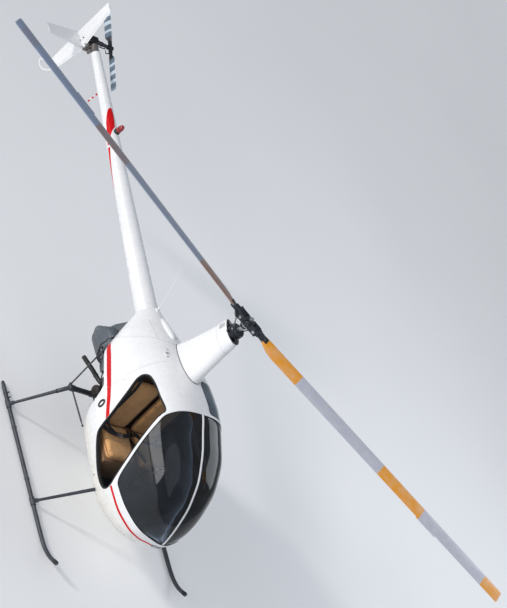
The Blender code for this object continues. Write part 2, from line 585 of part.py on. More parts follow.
fan_rings = []
for y, wide, low, high in SHROUD:
    half = [(0.100, low), (0.200, low), (wide - 0.015, low + 0.002), (wide - 0.004, low + 0.012), (wide, low + 0.030),
            (wide, (low + high) / 2), (wide, (low + high) / 2 + 0.020), (wide, high - 0.040),
            (wide - 0.012, high - 0.015), (wide - 0.040, high), (0.120, high)]
    fan_rings.append(mirrored_ring(y, low, half))
for y, top in DRUM:
    upper = [(x, DRUM_MID + (top - DRUM_MID) * share) for x, share in DRUM_HIGH]
    fan_rings.append(mirrored_ring(y, 0.633, DRUM_LOW + upper))
fan_housing = put("fan_housing", loft_shape(fan_rings), "grey_metal")
duct = loft_shape([[(-x, a, z), (x, a, z), (x, b, z), (-x, b, z)] for z, x, a, b in DUCT])
carve(fan_housing, cutter("fan_duct", duct), "UNION")
put("muffler", rod_shape((-0.27, 0.300, 0.6405), (0.27, 0.300, 0.6405), 0.060, None, 16), "engine_metal")
pipe = tube("exhaust_pipe", [(-0.240, 0.300, 0.755), (-0.282, 0.345, 0.742), (-0.288, 0.500, 0.705),
                             (-0.295, 0.712, 0.640)], 0.026, "black_trim")
carve(pipe, cutter("engine_room", box_shape(-0.250 - GAP, 0.250 + GAP, 0.100, 0.420 + GAP, 0.700, 0.950)))
for side, name in ((-1, "right"), (1, "left")):
    low = put("brace_low_" + name, rod_shape((side * 0.505, 0.315, 0.540), (side * 0.400, -0.140, 0.470), 0.009, None, 8),
              "slate_paint")
    carve(low, grown_body)
    carve(low, bpy.data.objects["cross_room_" + name])
    high = put("brace_high_" + name, rod_shape((side * 0.543, 0.334, 0.540), (side * 0.288, 0.646, 1.010), 0.009, None, 8),
               "slate_paint")
    carve(high, cutter("fan_room_" + name, box_shape(-0.2977, 0.2977, 0.550, 0.690, 0.850, 1.050)))
    carve(high, bpy.data.objects["cross_room_" + name])
    leg_room = rod_shape((side * 0.525, AFT_Y, 0.5512), (side * SKID_X, AFT_Y, 0.028), TUBE_R + GAP, TUBE_FOOT_R + GAP)
    carve(high, cutter("leg_room_" + name, leg_room))

# Small pieces on top of the tail cone and cowl
cone_grown = cutter("cone_grown", rod_shape(CONE_FRONT, CONE_BACK, 0.126 + GAP, 0.0535 + GAP, 24))
beacon = put("beacon", rod_shape((0, 3.140, 1.640), (0, 3.140, 1.780), 0.036, 0.030, 16), "red_paint")
carve(beacon, cone_grown)
aerial = tube("whip_aerial", [(0.0, 0.800, 1.480), (0.0, 0.860, 1.600), (0.0, 0.960, 1.790), (0.0, 1.108, 2.000)],
              0.0045, "white_paint")
carve(aerial, grown_body)
sensor = put("tail_rod", rod_shape((0, 3.745, 1.600), (0, 3.750, 1.405), 0.009, None, 8), "red_paint")
carve(sensor, cone_grown)
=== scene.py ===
# The looks of a light two-seat helicopter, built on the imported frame.
# Places are stated in metres from the rotor mast's foot. SHIFT moves them to the frame's own origin.
import bpy
import bmesh
import math
import numpy as np
from mathutils import Matrix, Vector


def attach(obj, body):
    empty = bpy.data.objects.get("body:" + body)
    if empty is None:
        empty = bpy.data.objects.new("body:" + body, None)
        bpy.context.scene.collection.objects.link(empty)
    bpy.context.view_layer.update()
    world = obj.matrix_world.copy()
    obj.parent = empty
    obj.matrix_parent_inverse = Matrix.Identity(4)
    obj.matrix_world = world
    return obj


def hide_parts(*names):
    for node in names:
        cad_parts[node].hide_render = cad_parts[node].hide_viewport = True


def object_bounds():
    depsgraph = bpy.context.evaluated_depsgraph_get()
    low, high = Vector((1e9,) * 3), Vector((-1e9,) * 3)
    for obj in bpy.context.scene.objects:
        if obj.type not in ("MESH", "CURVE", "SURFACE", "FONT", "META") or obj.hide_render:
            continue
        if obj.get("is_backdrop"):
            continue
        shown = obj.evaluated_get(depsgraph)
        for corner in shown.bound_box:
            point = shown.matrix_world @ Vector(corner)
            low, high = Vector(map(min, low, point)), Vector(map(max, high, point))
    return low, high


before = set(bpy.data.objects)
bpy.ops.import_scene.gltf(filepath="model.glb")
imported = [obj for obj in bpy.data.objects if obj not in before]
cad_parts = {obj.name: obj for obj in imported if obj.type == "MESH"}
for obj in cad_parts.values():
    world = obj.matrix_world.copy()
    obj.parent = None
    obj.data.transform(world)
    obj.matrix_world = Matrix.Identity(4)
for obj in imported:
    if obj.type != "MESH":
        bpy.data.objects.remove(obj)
CAD_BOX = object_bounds()
SHIFT = np.array([0.0, -1.0205, 0.0])
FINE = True


# Materials


class Look:
    """A material with short words for adding nodes. It reads the piece's own Object coordinates, in
    metres."""

    def __init__(self, name):
        """An empty material with its shader and its coordinates."""
        self.made = bpy.data.materials.new(name)
        self.made.use_nodes = True
        self.tree = self.made.node_tree
        self.shader = self.tree.nodes["Principled BSDF"]
        self.place = self.tree.nodes.new("ShaderNodeTexCoord").outputs["Object"]
        self.split = None

    def node(self, kind, wired=None, **settings):
        """A node with its settings and what goes into its sockets."""
        made = self.tree.nodes.new(kind)
        for key, value in settings.items():
            setattr(made, key, value)
        for key, value in (wired or {}).items():
            self.wire(value, made.inputs[key])
        return made

    def wire(self, value, socket):
        """A link from another node's socket, or a plain value."""
        if isinstance(value, bpy.types.NodeSocket):
            self.tree.links.new(value, socket)
        else:
            socket.default_value = value

    def sum(self, how, a, b=0.0):
        """One step of arithmetic."""
        return self.node("ShaderNodeMath", {0: a, 1: b}, operation=how).outputs[0]

    def axis(self, name):
        """One of the three coordinates."""
        if self.split is None:
            self.split = self.node("ShaderNodeSeparateXYZ", {0: self.place})
        return self.split.outputs[name]

    def noise(self, scale, detail=3.0, stretch=(1, 1, 1)):
        """Smooth noise from 0 to 1."""
        place = self.place
        if stretch != (1, 1, 1):
            place = self.node("ShaderNodeMapping", {"Vector": self.place, "Scale": stretch}).outputs[0]
        made = self.node("ShaderNodeTexNoise", {"Vector": place, "Scale": scale, "Detail": detail})
        return made.outputs["Fac"]

    def between(self, value, low, high, to_low=0.0, to_high=1.0):
        """The range from low to high spread evenly over another, and held at its ends."""
        return self.node("ShaderNodeMapRange", {0: value, 1: low, 2: high, 3: to_low, 4: to_high},
            clamp=True).outputs[0]

    def cloud(self, scale, detail, *limits):
        """Noise whose range from low to high is spread over another."""
        return self.between(self.noise(scale, detail), *limits)

    def mix(self, share, first, second):
        """A colour between two, by a share."""
        made = self.node("ShaderNodeMix", None, data_type="RGBA")
        self.wire(share, made.inputs[0])
        for value, place in ((first, 6), (second, 7)):
            if not isinstance(value, bpy.types.NodeSocket) and len(value) == 3:
                value = (*value, 1.0)
            self.wire(value, made.inputs[place])
        return made.outputs[2]

    def two_tones(self, colour, vary, size):
        """A broad noise between the colour darkened and lightened by vary."""
        return self.mix(self.cloud(size, 4.0, 0.3, 0.7), shade_of(colour, 1 - vary),
            shade_of(colour, 1 + vary))

    def steps(self, value, rows):
        """A ramp of plain bands: rows of start and colour."""
        made = self.node("ShaderNodeValToRGB", {0: value})
        ramp = made.color_ramp
        ramp.interpolation = "CONSTANT"
        ramp.elements.remove(ramp.elements[-1])
        ramp.elements[0].position = rows[0][0]
        ramp.elements[0].color = (*rows[0][1], 1.0)
        for start, colour in rows[1:]:
            ramp.elements.new(start).color = (*colour, 1.0)
        return made.outputs[0]

    def bump(self, height, strength, distance=0.001):
        """Relief by a height."""
        made = self.node("ShaderNodeBump", {"Height": height, "Strength": strength, "Distance": distance})
        self.wire(made.outputs[0], self.shader.inputs["Normal"])

    def done(self, colour, rough, metal=0.0, coat=0.0, sheen=0.0):
        """The finished material from its colour and shine."""
        for key, value in (("Base Color", colour), ("Roughness", rough), ("Metallic", metal),
                ("Coat Weight", coat), ("Coat Roughness", 0.08), ("Sheen Weight", sheen)):
            self.wire(value, self.shader.inputs[key])
        return self.made


def shade_of(colour, by):
    """The colour times by, no channel above 1."""
    return tuple(min(1.0, c * by) for c in colour)


def mottled(name, colour, rough=0.4, metal=0.0, vary=0.12, size=9.0, grain=160.0, bump=0.12, coat=0.0,
        wear_and_glint=None, wear_and_glint_share=0.0):
    """Paint, rubber or metal: a broad noise shifts the colour, a fine one the roughness and the bump, and a
    third lets a second colour through in spots: wear, stains and rust on the others, painted highlights on
    the dark hub."""
    look = Look(name)
    tone = look.two_tones(colour, vary, size)
    fine = look.noise(grain, 3.0)
    if wear_and_glint:
        spots = look.cloud(size * 5.0, 6.0, 0.7 - wear_and_glint_share, 0.8 - wear_and_glint_share)
        tone = look.mix(spots, tone, wear_and_glint)
    gloss = look.between(fine, 0.25, 0.75, max(0.03, rough - 0.07), min(1.0, rough + 0.09))
    look.bump(fine, bump, 0.0006)
    return look.done(tone, gloss, metal, coat)


def painted_white():
    """Gloss white: faint cloudiness, orange peel, fine grey specks all over, and a warm cream tint low on
    the belly and nose that is painted light, the warm glow thrown up from the ground below."""
    look = Look("white_gloss")
    cloud = look.cloud(2.2, 3.0, 0.3, 0.7)
    tone = look.mix(cloud, (0.8, 0.81, 0.83), (0.86, 0.865, 0.875))
    # Painted light: the tint rises towards (0.72, 0.66, 0.52) low on the belly and nose, in place of warm
    # light thrown up from the ground.
    low = look.between(look.sum("ADD", look.axis("Z"), look.cloud(2.6, 2.0, 0.2, 0.8, -0.04, 0.04)), 0.74,
        0.44)
    tone = look.mix(look.sum("MULTIPLY", low, 0.55), tone, (0.72, 0.66, 0.52))
    specks = look.cloud(90.0, 5.0, 0.66, 0.74, 0.0, 0.1)
    tone = look.mix(specks, tone, (0.55, 0.53, 0.48))
    look.bump(look.noise(420.0, 1.0), 0.04, 0.0004)
    gloss = look.cloud(14.0, 4.0, 0.3, 0.7, 0.2, 0.34)
    return look.done(tone, gloss, 0.0, 0.35)


def rings_round(look, centre, flat_axes):
    """Distance from a turning axis: the root of the two squares across it."""
    squares = []
    for axis, middle in zip(flat_axes, centre):
        apart = look.sum("SUBTRACT", look.axis(axis), middle)
        squares.append(look.sum("MULTIPLY", apart, apart))
    return look.sum("SQRT", look.sum("ADD", *squares))


def banded_blade(name, bands, centre, flat_axes, reach, streak=(0.86, 0.87, 0.9)):
    """Blade paint in bands by the distance from the turning axis, with a broad noise film of the streak
    colour and small dark specks all over."""
    look = Look(name)
    out = rings_round(look, centre, flat_axes)
    wobble = look.cloud(30.0, 2.0, 0.0, 1.0, -0.004, 0.004)
    share = look.sum("DIVIDE", look.sum("ADD", out, wobble), reach)
    tone = look.steps(share, [(start / reach, colour) for start, colour in bands])
    film = look.cloud(11.0, 5.0, 0.35, 0.75, 0.0, 0.22)
    tone = look.mix(film, tone, streak)
    specks = look.cloud(160.0, 4.0, 0.64, 0.72, 0.0, 0.35)
    tone = look.mix(specks, tone, (0.25, 0.25, 0.28))
    look.bump(look.noise(260.0, 2.0), 0.06, 0.0005)
    return look.done(tone, look.cloud(20.0, 3.0, 0.3, 0.7, 0.3, 0.46), 0.0, 0.1)


def woven(name, colour, thread=0.0016, vary=0.12, sheen=0.15):
    """Cloth: two crossed families of thin bands make the weave, noise fades and soils the colour, and
    painted shade darkens the weave's low gaps between the threads.
    """
    look = Look(name)
    threads = []
    for turn in ((0.0, 0.0, 0.0), (0.0, 0.0, 1.5708)):
        place = look.node("ShaderNodeMapping", {"Vector": look.place, "Rotation": turn}).outputs[0]
        wave = look.node("ShaderNodeTexWave", {"Vector": place, "Scale": 0.314 / thread, "Distortion": 0.6,
            "Detail": 1.0})
        threads.append(wave.outputs["Fac"])
    weave = look.sum("ADD", *threads)
    tone = look.two_tones(colour, vary, 10.0)
    # Painted shade: the colour darkens towards 45 percent where the weave is low, in the gaps between
    # threads.
    tone = look.mix(look.between(weave, 0.3, 1.7, 0.22, 0.0), tone, shade_of(colour, 0.45))
    look.bump(look.sum("ADD", weave, look.noise(500.0, 2.0)), 0.35, 0.0006)
    return look.done(tone, look.cloud(60.0, 3.0, 0.3, 0.7, 0.78, 0.95), 0.0, 0.0, sheen)


def clear_pane(name, tint, dust=0.05, shine=0.02):
    """A thin tinted pane: what passes through is tinted, the gloss follows Fresnel, and a little dust
    lies on it."""
    look = Look(name)
    look.tree.nodes.remove(look.shader)
    end = look.tree.nodes["Material Output"]
    thin = look.node("ShaderNodeBsdfTransparent", {0: (*tint, 1.0)})
    gloss = look.node("ShaderNodeBsdfGlossy", {"Color": (1, 1, 1, 1), "Roughness": shine})
    dirt = look.node("ShaderNodeBsdfDiffuse", {"Color": (0.62, 0.64, 0.66, 1)})
    edge = look.node("ShaderNodeFresnel", {"IOR": 1.46}).outputs[0]
    glass = look.node("ShaderNodeMixShader", {0: edge, 1: thin.outputs[0], 2: gloss.outputs[0]})
    film = look.between(look.noise(5.0, 6.0, (1, 1, 2.5)), 0.35, 0.75, dust * 0.4, dust * 1.8)
    both = look.node("ShaderNodeMixShader", {0: film, 1: glass.outputs[0], 2: dirt.outputs[0]})
    look.tree.links.new(both.outputs[0], end.inputs[0])
    return look.made


RED = (0.62, 0.005, 0.008)
WHITE = painted_white()
RED_GLOSS = mottled("red_gloss", RED, 0.36, 0.0, 0.05, 6.0, 300.0, 0.04, 0.1)
RED_GLOSS.node_tree.nodes["Principled BSDF"].inputs["Specular IOR Level"].default_value = 0.15
SLATE = mottled("slate_satin", (0.04, 0.046, 0.058), 0.4, 0.0, 0.25, 14.0, 240.0, 0.25, 0.0,
    (0.16, 0.17, 0.18), 0.06)
BLACK = mottled("black_satin", (0.012, 0.012, 0.014), 0.42, 0.0, 0.3, 18.0, 260.0, 0.2)
RUBBER = mottled("black_rubber", (0.01, 0.01, 0.011), 0.72, 0.0, 0.3, 30.0, 500.0, 0.3)
LINING = mottled("grey_felt", (0.035, 0.036, 0.04), 0.92, 0.0, 0.35, 40.0, 900.0, 0.6)
HEADLINER = mottled("brown_headliner", (0.135, 0.09, 0.062), 0.92, 0.0, 0.3, 12.0, 800.0, 0.6)
# Painted highlights: the sparse light bluish-grey spots on the dark hub stand in for its glints.
HUB_DARK = mottled("hub_dark", (0.022, 0.026, 0.034), 0.36, 0.35, 0.55, 26.0, 180.0, 0.35, 0.0,
    (0.2, 0.22, 0.27), 0.1)
STEEL = mottled("bright_steel", (0.42, 0.43, 0.45), 0.26, 0.9, 0.12, 20.0, 400.0, 0.1)
DULL_WARM = mottled("grimy_alloy", (0.17, 0.155, 0.15), 0.55, 0.35, 0.35, 30.0, 300.0, 0.3, 0.0,
    (0.05, 0.045, 0.045), 0.1)
DULL = mottled("dull_alloy", (0.24, 0.25, 0.26), 0.48, 0.7, 0.22, 22.0, 300.0, 0.25)
CAST = mottled("cast_engine", (0.085, 0.085, 0.088), 0.58, 0.45, 0.35, 24.0, 320.0, 0.5, 0.0,
    (0.26, 0.22, 0.16), 0.05)
SOOT = mottled("sooty_pipe", (0.022, 0.019, 0.018), 0.66, 0.2, 0.5, 18.0, 220.0, 0.4, 0.0, (0.2, 0.1, 0.05),
    0.07)
FAN_GREY = mottled("fan_shroud", (0.085, 0.1, 0.118), 0.46, 0.0, 0.16, 6.0, 200.0, 0.15, 0.0,
    (0.23, 0.2, 0.1), 0.02)
SEAM = mottled("seam_grey", (0.36, 0.36, 0.37), 0.6, 0.0, 0.15, 30.0, 300.0, 0.1)
FASTENER = mottled("fastener", (0.55, 0.55, 0.56), 0.35, 0.6, 0.1, 60.0, 400.0, 0.1)
TAN = woven("tan_cloth_weave", (0.86, 0.46, 0.185))
TAN_DARK = woven("tan_piping", (0.34, 0.19, 0.09), 0.0012)
WEBBING = woven("black_webbing", (0.03, 0.03, 0.034), 0.0022, 0.2, 0.05)
DIAL = mottled("dial_face", (0.006, 0.006, 0.007), 0.25, 0.0, 0.2, 60.0, 400.0, 0.05, 0.5)
MARKS = mottled("dial_marks", (0.75, 0.74, 0.7), 0.5, 0.0, 0.05, 60.0, 400.0, 0.05)
LENS_RED = mottled("lens_red", (0.3, 0.006, 0.01), 0.12, 0.0, 0.1, 40.0, 400.0, 0.05, 0.8)
LENS_CLEAR = mottled("lens_clear", (0.62, 0.64, 0.66), 0.08, 0.3, 0.05, 40.0, 400.0, 0.05, 0.8)
ROOF_GLASS = mottled("roof_glass", (0.05, 0.085, 0.115), 0.16, 0.0, 0.45, 4.0, 300.0, 0.02, 0.6)
SCREEN_GLASS = clear_pane("smoked_screen", (0.46, 0.52, 0.6), 0.007)
DOOR_GLASS = clear_pane("smoked_door_pane", (0.62, 0.74, 0.84), 0.02)
YELLOW = (0.9, 0.36, 0.012)
PALE = (0.54, 0.55, 0.63)
MAST_AT = (0.0, -1.0205)
# Lit and shaded copies of one blade paint: the front blade is painted as it looks in full light, while the
# rear blade's bands and streak film are painted darker, browner and bluer as painted shade and sky
# reflection.
BLADE_FRONT_LIT = banded_blade("blade_bands_front_lit", [(0.0, (0.02, 0.022, 0.028)), (0.235, YELLOW), (0.79, PALE),
    (2.02, YELLOW), (2.64, PALE), (3.58, YELLOW)], MAST_AT, "XY", 3.9)
# Painted shade: the rear blade's yellow and pale bands as they look in shade.
SHADED_YELLOW = (0.27, 0.21, 0.21)
SHADED_PALE = (0.25, 0.31, 0.44)
BLADE_REAR_SHADED = banded_blade("blade_bands_rear_shaded", [(0.0, (0.02, 0.022, 0.028)), (0.235, (0.3, 0.17, 0.12)),
    (0.79, (0.28, 0.32, 0.42)), (2.02, SHADED_YELLOW), (2.5, SHADED_PALE), (3.5, (0.25, 0.27, 0.36)),
    (3.72, SHADED_PALE)], MAST_AT, "XY", 3.9, (0.36, 0.42, 0.54))
TAIL_AT = (3.3735, 1.708)
LIGHT_BAND = (0.62, 0.7, 0.78)
DARK_BAND = (0.115, 0.165, 0.225)
TAIL_LOOK = banded_blade("tail_blade_bands", [(0.0, (0.02, 0.024, 0.032)), (0.15, DARK_BAND),
    (0.205, LIGHT_BAND), (0.238, DARK_BAND), (0.3, LIGHT_BAND), (0.345, DARK_BAND), (0.405, LIGHT_BAND),
    (0.448, DARK_BAND), (0.505, (0.3, 0.36, 0.43))], TAIL_AT, "YZ", 0.6, (0.4, 0.48, 0.56))


# Shapes: a form is its points and a list of face arrays
X, Y, Z = np.eye(3)
SIDES = (-1.0, 1.0)


def grid_faces(rows, cols, ring=False):
    """Quads of a grid of rows by cols points. With ring, the last column joins the first."""
    r = np.arange(rows - 1)[:, None]
    c = np.arange(cols if ring else cols - 1)[None, :]
    n = (c + 1) % cols
    return np.stack([r * cols + c, r * cols + n, (r + 1) * cols + n, (r + 1) * cols + c],
        axis=-1).reshape(-1, 4)


def joined(*forms):
    """Several forms as one."""
    points, faces, start = [], [], 0
    for p, fs in forms:
        points.append(np.asarray(p, float))
        faces += [np.asarray(f) + start for f in fs]
        start += len(p)
    return np.concatenate(points), faces


def moved(form, matrix):
    """The form under a 4 by 4 matrix."""
    m = np.array(matrix, float)
    return form[0] @ m[:3, :3].T + m[:3, 3], form[1]


def mirrored(form):
    """The form's mirror in x."""
    return form[0] * np.array([-1.0, 1.0, 1.0]), [f[:, ::-1] for f in form[1]]


def both_sides(*forms):
    """The forms and their mirrors in x, as one."""
    form = joined(*forms)
    return joined(form, mirrored(form))


def placed(x_way, y_way, z_way, at):
    """The 4 by 4 matrix whose columns are a frame's three directions and its place."""
    m = np.eye(4)
    m[:3] = np.column_stack([x_way, y_way, z_way, at])
    return m


def loft(rings):
    """Rings of equal count joined in order, with a flat face on each end. rings is rows by count by 3."""
    rings = np.asarray(rings, float)
    rows, cols = rings.shape[:2]
    ends = [np.arange(cols)[None, ::-1], (np.arange(cols) + (rows - 1) * cols)[None, :]]
    return rings.reshape(-1, 3), [grid_faces(rows, cols, True), *ends]


def hoop(rings):
    """Rings joined in order and the last to the first, such as a closed bead."""
    rings = np.asarray(rings, float)
    rows, cols = rings.shape[:2]
    around = grid_faces(rows + 1, cols, True) % (rows * cols)
    return rings.reshape(-1, 3), [around]


def unit(v):
    """Vectors divided by their length."""
    return v / np.maximum(np.linalg.norm(v, axis=-1, keepdims=True), 1e-12)


def angles(count, shift=0.0):
    """Even angles of one full turn."""
    return 2 * np.pi * (np.arange(count) + shift) / count


def power(v, k):
    """The size of v to the power k, with the sign of v."""
    return np.sign(v) * np.abs(v) ** k


def cubic(t, a, b, slope_a, slope_b, gap=1.0):
    """The cubic that runs from a to b with given slopes at its ends, over a gap."""
    return ((2 * t**3 - 3 * t**2 + 1) * a + (t**3 - 2 * t**2 + t) * gap * slope_a + (3 * t**2 - 2 * t**3)
        * b + (t**3 - t**2) * gap * slope_b)


def runs(path, ring=False):
    """The path's own direction at each point: the difference of its two neighbours."""
    if ring:
        return unit(np.roll(path, -1, axis=0) - np.roll(path, 1, axis=0))
    return unit(np.gradient(path, axis=0))


def smooth_path(points, per=8, ring=False):
    """A curve through the points: each span is the centripetal Catmull-Rom cubic of its four nearest
    points."""
    p = np.asarray(points, float)
    if ring:
        p = np.concatenate([p[-1:], p, p[:2]])
    else:
        p = np.concatenate([2 * p[:1] - p[1:2], p, 2 * p[-1:] - p[-2:-1]])
    gaps = np.sqrt(np.maximum(np.linalg.norm(np.diff(p, axis=0), axis=1), 1e-9))
    a, b, c, d = p[:-3], p[1:-2], p[2:-1], p[3:]
    ga, gb, gc = gaps[:-2, None], gaps[1:-1, None], gaps[2:, None]
    mb = gb * ((b - a) / ga - (c - a) / (ga + gb) + (c - b) / gb)
    mc = gb * ((c - b) / gb - (d - b) / (gb + gc) + (d - c) / gc)
    t = (np.arange(per) / per)[None, :, None]
    b, c, mb, mc = (q[:, None, :] for q in (b, c, mb, mc))
    span = cubic(t, b, c, mb, mc).reshape(-1, p.shape[1])
    return span if ring else np.concatenate([span, p[-2:-1]])


def even(path, count, ring=False):
    """The same line with count points at even steps along it."""
    path = np.asarray(path, float)
    if ring:
        path = np.concatenate([path, path[:1]])
    along = np.concatenate([[0], np.cumsum(np.linalg.norm(np.diff(path, axis=0), axis=1))])
    want = np.linspace(0, along[-1], count + 1)[:-1] if ring else np.linspace(0, along[-1], count)
    return np.stack([np.interp(want, along, path[:, k]) for k in range(path.shape[1])], axis=1)


def rings_on(path, size, ahead, off, sides):
    """Round rings square to a path's direction, counted from the direction square to both it and off."""
    side = unit(np.cross(ahead, off))
    up = np.cross(side, ahead)
    a = angles(sides)[None, :, None]
    return path[:, None] + size[:, None, None] * (np.cos(a) * side[:, None] + np.sin(a) * up[:, None])


DOME = 0.6


def tube(path, radius, sides=14, ring=False, domed=True):
    """A round bar along a path: each point carries a ring square to the path, its ends domed by four more
    rings."""
    path = np.asarray(path, float)
    radius = np.broadcast_to(np.asarray(radius, float), (len(path),)).astype(float)
    ahead = runs(path, ring)
    if domed and not ring:
        turn = np.radians([84.0, 60.0, 35.0, 14.0])
        caps = [(path[end] + way * ahead[end] * radius[end] * DOME * np.sin(turn)[:, None],
            radius[end] * np.cos(turn), np.tile(ahead[end], (len(turn), 1))) for end, way in ((0, -1.0),
            (-1, 1.0))]
        path, radius, ahead = (np.concatenate([first, middle, last[::-1]])
            for first, middle, last in zip(caps[0], (path, radius, ahead), caps[1]))
    rings = rings_on(path, radius, ahead, np.eye(3)[np.abs(ahead).max(axis=0).argmin()], sides)
    return hoop(rings) if ring else loft(rings)


def turned(start, way, rows, sides=32):
    """A turned shape: rows of distance along the axis from start, and radius."""
    way = unit(np.asarray(way, float))
    off = np.eye(3)[np.abs(way).argmin()]
    side = unit(np.cross(way, off))
    up = np.cross(side, way)
    rows = np.asarray(rows, float)
    a = angles(sides)
    spokes = np.cos(a)[:, None] * side + np.sin(a)[:, None] * up
    return loft(np.asarray(start, float) + rows[:, 0, None, None] * way + rows[:, 1, None, None] * spokes)


def turned_ring(start, way, rows, sides=32):
    """A turned shape with a hole: its closed profile of distance and radius goes round the axis."""
    return hoop(turned(start, way, rows, sides)[0].reshape(len(rows), sides, 3))


def pill(half_long, radius, r, steps=4):
    """Rows of distance and radius for a disc or bar with rounded rims, centred on its start."""
    turn = np.radians(np.linspace(0, 90, steps + 1))
    rim = np.column_stack([half_long - r + r * np.sin(turn), radius - r + r * np.cos(turn)])
    return np.concatenate([rim[::-1] * (-1.0, 1.0), rim])


def brick(x0, x1, y0, y1, z0, z1, r=0.003, steps=2):
    """A box with rounded edges: each point of a small sphere is pushed out to its own corner of the inner
    box."""
    r = min(r, (x1 - x0) * 0.49, (y1 - y0) * 0.49, (z1 - z0) * 0.49)
    quarter = np.radians(np.linspace(0, 90, steps + 1))
    around = np.concatenate([quarter + k * np.pi / 2 for k in range(4)])
    sx, sy, sz = (np.repeat(signs, steps + 1) for signs in ([1.0, -1.0, -1.0, 1.0], [1.0, 1.0, -1.0, -1.0],
        [-1.0, 1.0]))
    lift = np.concatenate([quarter - np.pi / 2, quarter])
    half = np.array([(x1 - x0) / 2 - r, (y1 - y0) / 2 - r, (z1 - z0) / 2 - r])
    x = sx * half[0] + r * np.cos(lift)[:, None] * np.cos(around)
    y = sy * half[1] + r * np.cos(lift)[:, None] * np.sin(around)
    z = np.broadcast_to((sz * half[2] + r * np.sin(lift))[:, None], x.shape)
    return loft(np.stack([x, y, z], axis=-1) + np.array([(x0 + x1) / 2, (y0 + y1) / 2, (z0 + z1) / 2]))


def prism(outline, x0, x1):
    """A side view outline of y and z drawn through from x0 to x1."""
    return loft([np.column_stack([np.full(len(outline), x), outline]) for x in (x0, x1)])


def bar(start, end, r, sides=16):
    """A straight round bar."""
    return tube(even([start, end], 3), r, sides)


def bolt(at, way, size=0.006, tall=0.004):
    """A six-sided head on a washer."""
    return joined(turned(at, way, [(0, size * 1.25), (tall * 0.25, size * 1.25)], 16),
        turned(np.asarray(at) + unit(np.asarray(way, float)) * tall * 0.25, way,
        [(0, size), (tall * 0.8, size), (tall, size * 0.8)], 6))


def make(name, parts, stands_for=(), angle=38.0, body="airframe"):
    """One piece from rows of a look and its forms. Coinciding points are welded and faces turned
    outward."""
    mesh = bpy.data.meshes.new(name)
    looks, points, faces, numbers, start = [], [], [], [], 0
    for look, *forms in parts:
        p, fs = joined(*forms)
        if look not in looks:
            looks.append(look)
        points.append(p)
        for f in fs:
            faces += (f + start).tolist()
            numbers.append(np.full(len(f), looks.index(look)))
        start += len(p)
    mesh.from_pydata((np.concatenate(points) + SHIFT).tolist(), [], faces)
    mesh.polygons.foreach_set("material_index", np.concatenate(numbers).astype(np.int32))
    for look in looks:
        mesh.materials.append(look)
    shape = bmesh.new()
    shape.from_mesh(mesh)
    bmesh.ops.remove_doubles(shape, verts=shape.verts, dist=2e-6)
    bmesh.ops.dissolve_degenerate(shape, edges=shape.edges, dist=1e-7)
    bmesh.ops.recalc_face_normals(shape, faces=shape.faces)
    shape.to_mesh(mesh)
    shape.free()
    settle(name, mesh, stands_for, angle, body)


def settle(name, mesh, stands_for, angle=None, body="airframe"):
    """Shades the mesh, links its object at the origin and lets it ride on its body."""
    if angle is not None:
        mesh.shade_smooth()
        mesh.set_sharp_from_angle(angle=math.radians(angle))
    piece = bpy.data.objects.new(name, mesh)
    bpy.context.scene.collection.objects.link(piece)
    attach(piece, body)
    if stands_for:
        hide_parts(*stands_for)
    return piece


def dress(node, look):
    """A better material on a CAD node that keeps its shape."""
    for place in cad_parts[node].material_slots:
        place.material = look


# The cabin's form: y, half width, top, bottom, height of the widest point, roundness up and down
BODY = np.array([(-1.606, 0.0, 0.724, 0.724, 0.724, 2.0, 2.0), (-1.59, 0.09, 0.838, 0.665, 0.76, 2.1, 1.8),
    (-1.555, 0.175, 0.945, 0.612, 0.782, 2.45, 1.85), (-1.5, 0.27, 1.072, 0.545, 0.78, 2.8, 2.1),
    (-1.43, 0.335, 1.203, 0.468, 0.768, 3.05, 2.42), (-1.34, 0.39, 1.316, 0.415, 0.76, 3.25, 2.58),
    (-1.23, 0.447, 1.426, 0.37, 0.762, 3.38, 2.68), (-1.1, 0.49, 1.508, 0.335, 0.787, 3.4, 2.78),
    (-0.95, 0.531, 1.586, 0.313, 0.823, 3.3, 2.88), (-0.78, 0.549, 1.649, 0.306, 0.87, 3.08, 2.87),
    (-0.59, 0.556, 1.715, 0.32, 0.925, 2.85, 2.78), (-0.38, 0.562, 1.738, 0.33, 0.96, 2.8, 2.7),
    (-0.17, 0.548, 1.735, 0.338, 0.99, 2.7, 2.6), (0.03, 0.51, 1.71, 0.36, 1.02, 2.6, 2.5),
    (0.22, 0.465, 1.672, 0.425, 1.065, 2.42, 2.4), (0.4, 0.418, 1.63, 0.53, 1.112, 2.19, 2.25),
    (0.57, 0.372, 1.588, 0.68, 1.185, 1.91, 2.15), (0.72, 0.27, 1.552, 0.915, 1.265, 1.76, 2.0),
    (0.85, 0.165, 1.522, 1.235, 1.377, 1.8, 2.0)])
NOSE_Y = -1.606
NOSE_Z = 0.724


def knots(rows, at):
    """Columns of a table at any place: a cubic between rows whose slopes are harmonic means, so it never
    overshoots."""
    at = np.asarray(at, float)
    place = rows[:, 0]
    values = rows[:, 1:]
    gap = np.diff(place)
    rise = np.diff(values, axis=0) / gap[:, None]
    slope = np.zeros_like(values)
    slope[0], slope[-1] = rise[0], rise[-1]
    a, b = rise[:-1], rise[1:]
    total = a + b
    slope[1:-1] = np.where(a * b > 0, 2 * a * b / np.where(a * b > 0, total, 1.0), 0.0)
    i = np.clip(np.searchsorted(place, at, side="right") - 1, 0, len(gap) - 1)
    t = ((at - place[i]) / gap[i])[..., None]
    h = gap[i][..., None]
    return cubic(t, values[i], values[i + 1], slope[i], slope[i + 1], h)


BODY_ROOTS = np.column_stack([np.sqrt(BODY[:, 0] - NOSE_Y), BODY[:, 1:]])


